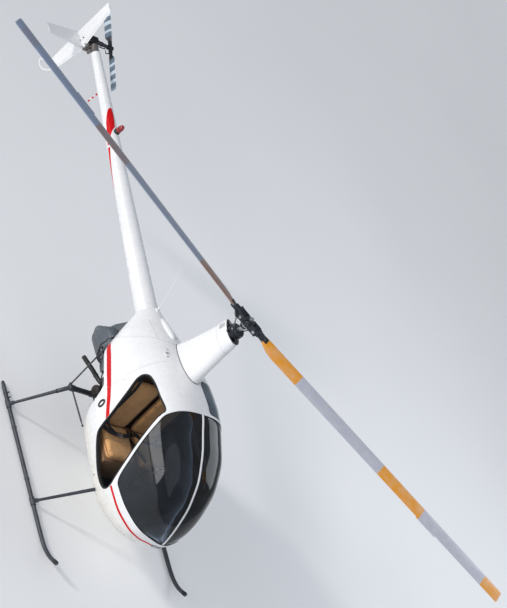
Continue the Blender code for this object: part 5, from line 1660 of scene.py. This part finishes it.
sump = [brick(-0.095, 0.095, 0.05, 0.22, 0.655, 0.742, 0.016, 3),
    brick(-0.05, 0.05, 0.075, 0.19, 0.6, 0.662, 0.012, 3), turned((0, 0.132, 0.604), -Z,
    [(0, 0.038), (0.012, 0.038), (0.02, 0.03), (0.03, 0.03)], 28)]
engine_bits.append((CAST, *sump))
leads = []
for y in CYLINDER_YS:
    for z in (0.848, 0.806):
        leads.append(tube(smooth_path([(0.232, y + 0.012, z), (0.262, y + 0.03, z + 0.012),
            (0.2, y + 0.05, 0.925), (0.09, 0.23, 0.948)], 8), 0.0042, 10))
        leads.append(turned((0.228, y + 0.012, z), X, [(0, 0.0095), (0.01, 0.0095), (0.014, 0.006),
            (0.022, 0.006)], 12))
engine_bits.append((BLACK, both_sides(*leads)))
boxes = [brick(-0.045, 0.045, 0.24, 0.33, 0.936, 0.975, 0.01, 3),
    *[turned((x, 0.06, 0.925), Z, [(0, 0.026), (0.055, 0.026), (0.062, 0.02)], 28)
    for x in (0.052, -0.052)]]
engine_bits.append((BLACK, *boxes))
make("engine", engine_bits, ("engine_block",), 34)

# Frame tubes round the engine, meeting at bolted joints
FRAME_LOW, FRAME_TOP, FRAME_MID = (0.3, 0.012, 0.6), (0.3, 0.012, 1.25), (0.292, 0.395, 0.9)
FRAME_RUNS = [(FRAME_LOW, FRAME_TOP), ((0.3, 0.012, 0.7), FRAME_MID), (FRAME_MID, (0.23, 0.64, 1.09)),
    (FRAME_TOP, (0.23, 0.64, 1.18)), ((0.215, 0.32, 0.572), FRAME_LOW), ((0.3, 0.012, 0.94), FRAME_MID)]
tubes = [tube(even([a, b], 8), 0.0105, 12) for a, b in FRAME_RUNS]
joints = [turned(np.array(p) - (0.013, 0, 0), X, [(0, 0.012), (0.003, 0.0165), (0.023, 0.0165),
    (0.026, 0.012)], 18) for p in (FRAME_LOW, FRAME_MID)]
lines = [tube(smooth_path([(0.305, 0.045, 0.64), (0.318, 0.16, 0.69), (0.3, 0.28, 0.76),
    (0.312, 0.4, 0.85)], 8), 0.0065, 10), tube(smooth_path([(0.29, 0.03, 0.9), (0.306, 0.12, 0.87),
    (0.3, 0.3, 0.93), (0.28, 0.42, 0.96)], 8), 0.0055, 10)]
make("engine_frame", [(SLATE, both_sides(*tubes, *joints)), (RUBBER, both_sides(*lines))])

muffler_half = np.array([(0.148, 0.06), (0.15, 0.0575), (0.178, 0.0575), (0.18, 0.06), (0.25, 0.06),
    (0.262, 0.056), (0.269, 0.044), (0.27, 0.0)])
muffler_rows = np.concatenate([muffler_half[::-1] * (-1, 1), muffler_half])
muffler_bits = [(SOOT, turned((0, 0.3, 0.6405), X, muffler_rows, 40)),
    (DULL, both_sides(clamp_ring((0.164, 0.3, 0.6405), X, 0.057, 0.0615, 0.012),
    bolt((0.164, 0.3 - 0.0615, 0.6405), -Y, 0.006, 0.012)))]
make("muffler_can", muffler_bits, ("muffler",))


def open_pipe(path, radius, wall=0.003, depth=0.06, sides=28):
    """A pipe with a hollow end: rings square to the path, then a smaller ring turned back inside."""
    ahead = runs(path)
    path = np.concatenate([path, path[-1:], path[-1:] - ahead[-1:] * depth])
    ahead = np.concatenate([ahead, ahead[-1:], ahead[-1:]])
    size = np.concatenate([np.full(len(path) - 2, radius), [radius - wall] * 2])
    return loft(rings_on(path, size, ahead, Z, sides))


pipe_path = even(smooth_path([(-0.24, 0.3, 0.752), (-0.268, 0.326, 0.749), (-0.282, 0.37, 0.738),
    (-0.288, 0.5, 0.705), (-0.295, 0.712, 0.64)], 12), 50)
make("exhaust_tail_pipe", [(BLACK, open_pipe(pipe_path, 0.0255),
    clamp_ring(pipe_path[16], pipe_path[17] - pipe_path[16], 0.025, 0.0282, 0.008))],
    ("exhaust_pipe",))

# Fan housing: a shroud widening into the drum, a duct up to the cowl, and the fan behind
SHROUD = [(0.4205, 0.28, 0.79, 0.945), (0.5, 0.288, 0.81, 0.97), (0.6, 0.295, 0.855, 1.005),
    (0.69, 0.3, 0.88, 1.065)]
DRUM = [(0.7, 1.09), (0.76, 1.09), (0.8, 1.085), (0.844, 1.061), (0.88, 1.02), (0.905, 0.983),
    (0.928, 0.955)]
DRUM_MID = 0.905
SCALED_FROM = np.array([0.0, 0.0, 0.8])
DRUM_LOW = [(0.085, 0.65), (0.162, 0.697), (0.226, 0.771), (0.266, 0.842), (0.284, 0.868),
    (0.303, DRUM_MID)]
DRUM_HIGH = [(0.303, 0.35), (0.298, 0.7), (0.28, 0.88), (0.245, 1.0), (0.12, 1.04)]


def whole_ring(y, low, half, count=96):
    """A closed ring from its half: a smooth curve through the lowest point, one side and the other side
    back down."""
    points = [(0.0, low)] + half + [(-x, z) for x, z in reversed(half)]
    line = even(smooth_path(points, 8, True), count, True)
    return np.column_stack([line[:, 0], np.full(count, y), line[:, 1]])


def read_off(table, at):
    """Every further column of a table at a place between its rows."""
    place, *columns = np.array(table).T
    return [float(np.interp(at, place, column)) for column in columns]


def drum_ring(y, scale=1.0):
    """The drum's section: a fixed lower half, an upper half stretched to the height at y, then scaled."""
    top = read_off(DRUM, y)[0]
    half = DRUM_LOW + [(x, DRUM_MID + (top - DRUM_MID) * s) for x, s in DRUM_HIGH]
    ring = whole_ring(y, 0.633, half)
    if scale == 1.0:
        return ring
    return (ring - SCALED_FROM) * (scale, 1, scale) + SCALED_FROM


def shroud_ring(y, wide, low, high):
    """The shroud's section: a box between two heights with rounded corners."""
    mid = (low + high) / 2
    half = [(0.1, low), (0.2, low), (wide - 0.015, low + 0.002), (wide - 0.004, low + 0.012),
        (wide, low + 0.03), (wide, mid), (wide, mid + 0.02), (wide, high - 0.04),
        (wide - 0.012, high - 0.015), (wide - 0.04, high), (0.12, high)]
    return whole_ring(y, low, half)


shroud_form = loft([shroud_ring(y, *read_off(SHROUD, y)) for y in np.linspace(0.4205, 0.698, 16)])
drum_form = loft([drum_ring(0.699, 0.992)] + [drum_ring(y) for y in np.linspace(0.702, 0.925, 24)]
    + [drum_ring(0.9295, 0.985)])
flange = loft([drum_ring(y, scale) for y, scale in ((0.694, 1.0), (0.6945, 1.0085), (0.7025, 1.0085),
    (0.703, 1.0))])
duct_rows = [(0.96, 0.2, 0.705, 0.915), (1.07, 0.182, 0.705, 0.9), (1.226, 0.155, 0.705, 0.842),
    (1.234, 0.15, 0.705, 0.838)]


def oblong(z, half, y0, y1, round_by=0.022, per=6):
    """A level ring: an oblong in x and y with quarter round corners."""
    quarter = np.radians(np.linspace(0, 90, per))
    cx, cy = half - round_by, (y1 - y0) / 2 - round_by
    x, y = (np.concatenate([s * reach + round_by * wave(quarter + k * np.pi / 2)
        for k, s in enumerate(signs)]) for reach, wave, signs in ((cx, np.cos, (1, -1, -1, 1)),
        (cy, np.sin, (1, 1, -1, -1))))
    return np.column_stack([x, y + (y0 + y1) / 2, np.full(len(x), z)])


duct_form = loft([oblong(*row) for row in duct_rows])
INLET = np.array((0.0, 0.929, 0.79))
inlet_ring = turned_ring(INLET, Y, [(-0.012, 0.142), (0.0, 0.146), (0.01, 0.14), (0.0135, 0.131),
    (0.01, 0.124), (-0.012, 0.12)], 60)
fan_bits = [(FAN_GREY, shroud_form, drum_form, duct_form), (BLACK, flange), (FAN_GREY, inlet_ring)]
FAN_BLADE = ((0.046, 0.0, 0.001), (0.118, 0.012, 0.001), (0.118, 0.026, 0.01), (0.046, 0.01, 0.01))
wheel = turned(INLET + (0, -0.002, 0), Y, [(0, 0.121), (0.0015, 0.121), (0.002, 0.046), (0.014, 0.04),
    (0.02, 0.026), (0.021, 0.0)], 48)
blades = []
for a in angles(22):
    spoke = np.array([math.cos(a), 0, math.sin(a)])
    across = np.array([-math.sin(a), 0, math.cos(a)])
    ring = np.array([INLET + spoke * r + across * s + (0, y, 0) for r, s, y in FAN_BLADE])
    blades.append(loft([ring, ring + across * 0.0025]))
fan_bits += [(BLACK, wheel), (DULL, *blades)]
rivets = []
for y in (0.712, 0.9):
    ring = drum_ring(y)
    for k in range(3, 96, 6):
        p = ring[k]
        out = unit(np.cross(ring[(k + 1) % 96] - ring[k - 1], Y))
        out = out * np.sign(np.dot(out, p - (0, y, 0.85)))
        rivets.append(turned(p - out * 0.0008, out, [(0, 0.0042), (0.0016, 0.0038), (0.0026, 0.0018)], 10))
for y in (0.44, 0.67):
    wide, low, high = read_off(SHROUD, y)
    for side in SIDES:
        for z in np.linspace(low + 0.035, high - 0.045, 4):
            rivets.append(turned((side * (wide - 0.0006), y, z), (side, 0, 0),
                [(0, 0.0042), (0.0018, 0.0038), (0.0028, 0.0018)], 10))
fan_bits.append((FASTENER, *rivets))
edge_line = [(-0.3005, 0.694, 0.885), (-0.2985, 0.66, 0.873), (-0.2955, 0.6, 0.86), (-0.289, 0.5, 0.818),
    (-0.281, 0.425, 0.795)]
fan_bits.append((BLACK, both_sides(tube(smooth_path(edge_line, 8), 0.0055, 12))))
lights = []
for y, z, r in ((0.64, 0.902, 0.013), (0.6, 0.895, 0.01), (0.56, 0.872, 0.011)):
    lights.append(turned((-0.296, y, z), -X, [(0, r), (0.01, r), (0.014, r * 0.7)], 20))
fan_bits.append((STEEL, both_sides(*lights)))
brackets = [brick(-0.312, -0.296, 0.575, 0.66, 0.912, 0.926, 0.003),
    brick(-0.312, -0.296, 0.655, 0.672, 0.87, 0.926, 0.003)]
fan_bits.append((BLACK, both_sides(*brackets)))
make("fan_shroud", fan_bits, ("fan_housing",), 32)


# Cabin: seats, belts, console, controls and pedals
AIR = {"quality": 4, "mass": 0.3, "tension_stiffness": 12, "compression_stiffness": 12,
    "bending_stiffness": 0.4, "use_pressure": True, "uniform_pressure_force": 4.0}


def plumped(name, form, look, cap, stands_for):
    """A cushion: its closed form is remeshed, blown up a little by the cloth solver, and no point moves
    further than cap. One subdivision rounds it off."""
    work = loose("cushion_work", form)
    finer = work.modifiers.new("finer", "REMESH")
    finer.mode = "VOXEL"
    finer.voxel_size = 0.006
    graph = bpy.context.evaluated_depsgraph_get()
    graph.update()
    dense = bpy.data.meshes.new_from_object(work.evaluated_get(graph))
    bpy.data.objects.remove(work, do_unlink=True)
    soft = bpy.data.objects.new("cushion_soft", dense)
    bpy.context.scene.collection.objects.link(soft)
    before = read(dense.vertices, "co", wide=3)
    cloth = soft.modifiers.new("air", "CLOTH")
    for key, value in AIR.items():
        setattr(cloth.settings, key, value)
    cloth.settings.effector_weights.gravity = 0.0
    cloth.point_cache.frame_start = 1
    cloth.point_cache.frame_end = 20
    for step in range(1, 21):
        bpy.context.scene.frame_set(step)
    graph = bpy.context.evaluated_depsgraph_get()
    done = bpy.data.meshes.new_from_object(soft.evaluated_get(graph))
    shift = read(done.vertices, "co", wide=3) - before
    far = np.linalg.norm(shift, axis=1, keepdims=True)
    points = before + shift * np.minimum(1.0, cap / np.maximum(far, 1e-9))
    done.vertices.foreach_set("co", points.ravel())
    bpy.data.objects.remove(soft, do_unlink=True)
    bpy.context.scene.frame_set(1)
    points = read(done.vertices, "co", wide=3) + SHIFT
    done.vertices.foreach_set("co", points.ravel())
    done.materials.clear()
    done.materials.append(look)
    done.update()
    piece = settle(name, done, stands_for)
    piece.data.shade_smooth()
    finish = piece.modifiers.new("rounded", "SUBSURF")
    finish.levels = 1
    finish.render_levels = 1


SQUARENESS = 2 / 7.0
WAIST = 0.018


def fade(share):
    """A cosine that falls from 1 in the middle to 0 at either end."""
    return np.cos(np.clip(share, -1, 1) * np.pi / 2)


def cushion_form(x0, x1, y0, y1, z0, z1, round_by, crown, count=28):
    """A rounded pad: stacked rounded squares whose size follows a quarter round at top and bottom, and
    whose top rises by a double cosine towards the middle."""
    a = angles(88, 0.5)
    ux, uy = power(np.cos(a), SQUARENESS), power(np.sin(a), SQUARENESS)
    half_x, half_y, half_z = (x1 - x0) / 2, (y1 - y0) / 2, (z1 - z0) / 2
    rings = []
    for t in np.radians(np.linspace(-90, 90, count)):
        inset = round_by * (1 - math.cos(t))
        z = (half_z - round_by) * np.sign(t) + round_by * math.sin(t)
        rings.append(np.column_stack([ux * (half_x - inset), uy * (half_y - inset), np.full(len(a), z)]))
    rings += [rings[count - 1 - step] * (k, k, 1.0) for step, k in enumerate((0.75, 0.5, 0.25))]
    p = np.array(rings)
    p[..., 2] += np.where(p[..., 2] > 0, crown * fade(p[..., 0] / half_x) * fade(p[..., 1] / half_y), 0.0)
    p[..., 0] *= 1 - WAIST * fade(p[..., 1] / half_y)
    p[..., 1] *= 1 - 0.014 * fade(p[..., 0] / half_x)
    return loft(p + np.array([(x0 + x1) / 2, (y0 + y1) / 2, (z0 + z1) / 2]))


def pad_edge(x0, x1, y0, y1, z, count=160):
    """A line round a cushion: the same rounded square and waist as the cushion's own."""
    a = angles(400)
    x = (x0 + x1) / 2 + (x1 - x0) / 2 * power(np.cos(a), SQUARENESS)
    y = (y0 + y1) / 2 + (y1 - y0) / 2 * power(np.sin(a), SQUARENESS)
    x = x + ((x0 + x1) / 2 - x) * WAIST * fade((y - (y0 + y1) / 2) / (y1 - y0) * 2)
    return even(np.column_stack([x, y, np.full(400, z)]), count, True)


back_low, back_high = np.array((0.0, -0.1535, 0.6803)), np.array((0.0, -0.056, 1.36))
back_up = unit(back_high - back_low)
back_frame = placed(X, back_up, np.cross(X, back_up), (back_low + back_high) / 2)


def welt(x0, x1, y, z, high, radius=0.0024):
    """A sewn line across a cushion, raised by a cosine towards the middle."""
    x = np.linspace(x0 + 0.012, x1 - 0.012, 40)
    crown = high * np.cos((x - (x0 + x1) / 2) / (x1 - x0) * np.pi)
    return tube(np.column_stack([x, np.full(40, y), z + crown]), radius, 6)


BACK_HALF = float(np.linalg.norm(back_high - back_low)) / 2
piping = []
for side, name in ((-1, "right"), (1, "left")):
    x0, x1 = sorted((side * 0.035, side * 0.45))
    pad_form = cushion_form(x0 + 0.004, x1 - 0.004, -0.634, -0.192, 0.6806, 0.752, 0.026, 0.01)
    plumped("seat_pad_" + name, pad_form, TAN, 0.009, ("seat_cushion_" + name,))
    back_form = moved(cushion_form(x0 + 0.004, x1 - 0.004, -BACK_HALF + 0.004, BACK_HALF - 0.004, -0.027,
        0.026, 0.022, 0.01), back_frame)
    plumped("seat_back_pad_" + name, back_form, TAN, 0.008, ("seat_back_" + name,))
    piping += [tube(pad_edge(x0, x1, -0.639, -0.187, z), r, 8, True) for z, r in ((0.733, 0.0036),
        (0.696, 0.003))]
    piping.append(moved(tube(pad_edge(x0, x1, -BACK_HALF, BACK_HALF, 0.01), 0.0036, 8, True), back_frame))
    piping += [welt(x0, x1, -0.413 + k, 0.7535, 0.0155 * math.cos(k / 0.221 * np.pi / 2))
        for k in (-0.15, 0.0, 0.15)]
    piping += [moved(welt(x0, x1, k, 0.0275, 0.0145 * math.cos(k / BACK_HALF * np.pi / 2)), back_frame)
        for k in (-0.23, -0.08, 0.08, 0.23)]
make("seat_piping", [(TAN_DARK, *piping)], angle=60)


def strap(points, normals, wide=0.046, thick=0.0016, count=60):
    """Webbing: a flat band along a smooth path, its broad side square to the normals."""
    path = even(smooth_path(points, 10), count)
    k = np.linspace(0, 1, count)
    rows_n = np.asarray(normals, float)
    normal = unit(np.stack([np.interp(k, np.linspace(0, 1, len(rows_n)), rows_n[:, i]) for i in range(3)],
        axis=1))
    half = wide / 2
    return ribbon(path, normal, [(-half, 0.0), (-half, thick), (half, thick), (half, 0.0)])


SHOULDER = [(0.165, 0.004, 1.42), (0.165, -0.07, 1.388), (0.162, -0.113, 1.3), (0.156, -0.152, 1.05),
    (0.148, -0.186, 0.83), (0.11, -0.26, 0.778), (0.04, -0.345, 0.789)]
belts, buckles = [], []
for side in SIDES:
    mid = side * 0.2425
    for way, reach, over_y, near, end_y in ((side, 0.208, -0.33, 0.03, -0.352),
            (-side, 0.2, -0.322, 0.01, -0.35)):
        x = mid + way * reach
        belts.append(strap([(x, -0.225, 0.7), (x - way * 0.01, -0.262, 0.76),
            (mid + way * 0.13, over_y, 0.779), (mid + way * near, end_y, 0.787)],
            [(way, 0, 0.3), (way * 0.5, 0, 1), Z, Z]))
    belts.append(strap([(mid + side * x, y, z) for x, y, z in SHOULDER],
        [(0, -0.2, 1), (0, -1, 0.8), (0, -1, 0.13), (0, -1, 0.13), (0, -0.9, 0.5), (0, -0.1, 1), Z], 0.04))
    buckles.append(brick(mid - 0.038, mid + 0.038, -0.382, -0.32, 0.786, 0.8, 0.004))
    buckles.append(brick(mid - 0.02, mid + 0.02, -0.372, -0.332, 0.799, 0.805, 0.002))
make("seat_belts", [(WEBBING, *belts), (STEEL, *buckles)], angle=50)
for node, look in (("seat_base", TAN_DARK), ("cabin_floor", LINING), ("cabin_rear_wall", HEADLINER),
        ("hinge_bracket_low", WHITE), ("hinge_bracket_high", WHITE)):
    dress(node, look)

# Console with its dials, radio and switches
console_rows = [(0.4156, 0.112, -1.19, -0.98), (0.52, 0.118, -1.205, -0.973), (0.7, 0.13, -1.232, -0.962),
    (0.88, 0.135, -1.252, -0.987), (1.03, 0.135, -1.222, -1.01), (1.062, 0.132, -1.214, -1.018),
    (1.08, 0.12, -1.205, -1.032), (1.088, 0.1, -1.19, -1.05)]
console_bits = [(BLACK, loft([oblong(*row, 0.026, 7) for row in console_rows]))]
hood = [(1.046, 0.139, -1.235, -0.986), (1.054, 0.146, -1.243, -0.972), (1.066, 0.146, -1.243, -0.968),
    (1.086, 0.134, -1.226, -0.984), (1.096, 0.112, -1.2, -1.01)]
console_bits.append((RUBBER, loft([oblong(*row, 0.04, 8) for row in hood])))
panel_up = unit(np.array((0.0, -0.025, 0.18)))
panel_out = np.cross(panel_up, X)
panel_frame = placed(np.cross(panel_up, panel_out), panel_up, panel_out, (0.0, -0.9805, 0.885))
panel_bits = []
panel_bits.append((BLACK, brick(-0.126, 0.126, -0.158, 0.158, -0.012, 0.003, 0.002)))


def dial(x, y, r, needle):
    """A round instrument: bezel ring, sunk face, ticks every thirty degrees and one needle at an angle."""
    ring = turned_ring((x, y, 0.003), Z, [(0, r * 0.86), (0, r * 1.04), (0.004, r * 1.04), (0.0055, r),
        (0.0055, r * 0.9), (0.001, r * 0.86)], 36)
    face = turned((x, y, 0.002), Z, [(0, r * 0.88), (0.0018, r * 0.88)], 36)
    lines = []
    for k, a in enumerate(angles(12)):
        long = r * (0.2 if k % 3 == 0 else 0.12)
        lines.append((a, brick(r * 0.82 - long, r * 0.82, -r * 0.02, r * 0.02, 0.0036, 0.0043, 0.0002, 1)))
    lines.append((needle, joined(brick(-r * 0.15, r * 0.62, -r * 0.03, r * 0.03, 0.0043, 0.005, 0.0003, 1),
        turned((0, 0, 0.004), Z, [(0, r * 0.09), (0.0016, r * 0.09)], 14))))
    return ring, face, joined(*[moved(line, placed((math.cos(a), math.sin(a), 0),
        (-math.sin(a), math.cos(a), 0), Z, (x, y, 0))) for a, line in lines])


DIALS = ((0.108, 0.035, 0.083, (2.2, 0.7, -0.4)), (0.026, 0.035, 0.083, (1.6, 0.0, 2.9)),
    (-0.128, 0.02, 0.047, (1.2, 2.4, 0.5, 1.9, 2.6)))
dials = [dial(step * (k - len(needles) // 2), y, r, needle) for y, r, step, needles in DIALS
    for k, needle in enumerate(needles)]
panel_bits += [(look, *forms) for look, forms in zip((CAST, DIAL, MARKS), zip(*dials))]
radio = [brick(-0.08, 0.08, y0, y1, 0.002, 0.01, 0.0015) for y0, y1 in ((-0.05, -0.02), (-0.086, -0.055))]
knobs = [turned((x, y, 0.009), Z, [(0, 0.0075), (0.01, 0.007), (0.012, 0.0055)], 20)
    for x in (-0.066, 0.066) for y in (-0.035, -0.0705)]
displays = [brick(-0.046, 0.046, y - 0.009, y + 0.009, 0.0098, 0.0108, 0.0004) for y in (-0.035, -0.0705)]
panel_bits += [(BLACK, *radio), (RUBBER, *knobs), (DIAL, *displays)]
lamps_row = [turned((x, 0.1505, 0.003), Z, [(0, 0.0048), (0.002, 0.0048), (0.0035, 0.003)], 16)
    for x in np.linspace(-0.1, 0.1, 6)]
panel_bits += [(LENS_RED, *lamps_row[::2]), (LENS_CLEAR, *lamps_row[1::2])]
console_bits += [(look, moved(joined(*forms), panel_frame)) for look, *forms in panel_bits]
side_plate = [brick(x, x + 0.0045, -1.205, -1.03, 0.64, 0.9, 0.002) for x in (-0.1385, 0.134)]
console_bits.append((DULL, *[bolt((s * 0.1385, y, z), (s, 0, 0), 0.0045, 0.003) for s in SIDES
    for y in (-1.19, -1.045) for z in (0.66, 0.88)]))
console_bits.append((BLACK, *side_plate))
make("console", console_bits, ("instrument_pedestal",), 36)

# Cyclic with its cross bar, collective levers and pedals
stick_path = even(smooth_path([(0, -0.76, 0.416), (0, -0.76, 0.47), (0, -0.744, 0.6), (0, -0.732, 0.72),
    (0, -0.742, 0.85), (0, -0.76, 0.926)], 10), 60)
cross_path = even(smooth_path([(-0.012, -0.762, 0.93), (0.06, -0.752, 0.932), (0.13, -0.734, 0.93),
    (0.172, -0.722, 0.922), (0.186, -0.712, 0.898), (0.19, -0.701, 0.862)], 10), 60)
control_bits = [(BLACK, tube(stick_path, 0.0125, 16), tube(cross_path, 0.0115, 16),
    turned((0, -0.76, 0.9), Z, [(0, 0.014), (0.01, 0.02), (0.038, 0.02), (0.046, 0.012)], 24))]
grip = even(np.array([(0.1865, -0.711, 0.895), (0.192, -0.696, 0.842)]), 26)
control_bits.append((RUBBER, tube(grip, 0.0165 + 0.0012 * np.cos(np.arange(26) * np.pi), 18)))
control_bits.append((RUBBER, turned((0, -0.76, 0.416), Z, [(0, 0.06), (0.008, 0.058), (0.016, 0.046),
    (0.024, 0.049), (0.032, 0.036), (0.04, 0.038), (0.05, 0.024), (0.06, 0.016)], 32)))
for x, z in ((0.0, 0.716), (0.463, 0.7)):
    lever = even(smooth_path([(x, -0.27, z - 0.02), (x, -0.42, z + 0.038), (x, -0.56, z + 0.086),
        (x, -0.64, z + 0.112)], 8), 40)
    control_bits.append((BLACK, tube(lever[:30], 0.01, 14)))
    control_bits.append((RUBBER, tube(lever[26:], 0.0155 + 0.001 * np.cos(np.arange(14) * np.pi), 16)))
pedals = []
for x in (-0.232, -0.162, 0.162, 0.232):
    pedals.append(tube(smooth_path([(x, -1.07, 0.417), (x, -1.11, 0.46), (x, -1.15, 0.53)], 8), 0.0085, 12))
    pedals.append(brick(x - 0.03, x + 0.03, -1.16, -1.144, 0.508, 0.576, 0.005))
control_bits.append((DULL, *pedals))
treads = [brick(x - 0.026, x + 0.026, -1.146, -1.141, z - 0.003, z + 0.003, 0.001)
    for x in (-0.232, -0.162, 0.162, 0.232) for z in (0.52, 0.532, 0.544, 0.556, 0.568)]
control_bits.append((RUBBER, *treads))
make("flight_controls", control_bits, ("cyclic_stick",), 40)

# Tinted roof light over the left seat
ROOF_LIGHT = np.array([(-0.165, 0.135), (-0.195, 0.095), (-0.279, 0.091), (-0.375, 0.101), (-0.467, 0.113),
    (-0.54, 0.121), (-0.562, 0.146)])


def roof_light(inset, lift):
    """A panel on the roof's left: from a curved inner edge out to just above the door, row by row along
    y."""
    line = even(smooth_path(ROOF_LIGHT, 10), 60)
    y = line[:, 0] + np.linspace(-inset, inset, 60)
    x_in = line[:, 1] + inset
    x_out = skin_x(y, np.full(60, 1.592)) - inset
    x = x_in[:, None] + (x_out - x_in)[:, None] * np.linspace(0, 1, 40)[None]
    y = np.broadcast_to(y[:, None], x.shape)
    p = np.stack([x, y, roof_z(x, y)], axis=-1)
    return patch(p, body_normal(p), lift)


make("roof_light_left", [(BLACK, roof_light(-0.004, 0.0012)), (ROOF_GLASS, roof_light(0.002, 0.0024))],
    angle=60)


# Floor, light and camera
FLOOR_HALF = 60
floor_look = Look("pale_floor")
floor_tone = floor_look.mix(floor_look.between(floor_look.noise(0.35, 3.0), 0.3, 0.7), (0.84, 0.845, 0.855),
    (0.88, 0.882, 0.89))
floor_look.bump(floor_look.noise(60.0, 3.0), 0.05, 0.001)
floor_mesh = bpy.data.meshes.new("studio_floor")
floor_mesh.from_pydata([(x * FLOOR_HALF, y * FLOOR_HALF, -0.004) for x, y in ((-1, -1), (1, -1), (1, 1),
    (-1, 1))], [], [(0, 1, 2, 3)])
floor_mesh.materials.append(floor_look.done(floor_tone, 0.85))
floor_shader = floor_mesh.materials[0].node_tree.nodes["Principled BSDF"]
floor_shader.inputs["Emission Color"].default_value = (0.97, 0.98, 1.0, 1.0)
floor_shader.inputs["Emission Strength"].default_value = 0.1
studio_floor = bpy.data.objects.new("studio_floor", floor_mesh)
bpy.context.scene.collection.objects.link(studio_floor)
studio_floor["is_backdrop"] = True


def lamp(name, kind, energy, colour, aim, **settings):
    """A lamp whose light runs along aim."""
    data = bpy.data.lights.new(name, kind)
    data.energy = energy
    data.color = colour
    for key, value in settings.items():
        setattr(data, key, value)
    made = bpy.data.objects.new(name, data)
    made.rotation_euler = Vector(aim).to_track_quat("-Z", "Y").to_euler()
    bpy.context.scene.collection.objects.link(made)
    return made


lamp("key", "SUN", 1.3, (1.0, 0.965, 0.92), (0.86, -0.36, -0.36), angle=math.radians(7))
lamp("fill", "SUN", 0.35, (0.86, 0.91, 1.0), (0.35, 0.55, -0.75), angle=math.radians(60))
for name, energy, colour, away, far, wide, high in (("soft_box_right", 730.0, (1.0, 0.99, 0.98),
        (-0.98, -0.04, 0.22), 13.0, 11.5, 6.5), ("soft_box_left", 170.0, (0.88, 0.94, 1.0),
        (0.87, -0.02, 0.49), 9.0, 6.0, 4.0)):
    box = lamp(name, "AREA", energy, colour, [-part for part in away], shape="RECTANGLE", size=wide,
        size_y=high)
    box.location = Vector((0.0, -1.0, 1.3)) + Vector(away) * far + Vector(SHIFT.tolist())
    box.visible_camera = False
world = bpy.data.worlds.new("studio_air")
bpy.context.scene.world = world
world.use_nodes = True
air = world.node_tree.nodes["Background"]
air.inputs[0].default_value = (0.84, 0.9, 1.0, 1.0)
air.inputs[1].default_value = 0.33

cam = bpy.data.cameras.new("camera")
cam.sensor_fit = "AUTO"
cam.sensor_width = 36
cam.lens = 2766.56 * 36 / 608
cam.clip_end = 200
cam.shift_x = (253.5 - 247.282) / 608
cam.shift_y = (329.234 - 304.0) / 608
rows = np.array([[0.6703, -0.2519, 0.698], [0.2345, -0.8205, -0.5213], [0.7041, 0.5131, -0.4909]])
left_part, right_part = np.linalg.svd(rows)[::2]
rows = left_part @ right_part
pose = placed(rows[0], -rows[1], -rows[2], np.array([-19.81743, -14.50535, 16.37292]) + SHIFT)
eye = bpy.data.objects.new("camera", cam)
bpy.context.scene.collection.objects.link(eye)
eye.matrix_world = Matrix(pose.tolist())
bpy.context.scene.camera = eye
bpy.context.scene.view_settings.view_transform = "Standard"

boxes = {"cad": CAD_BOX, "dressed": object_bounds()}
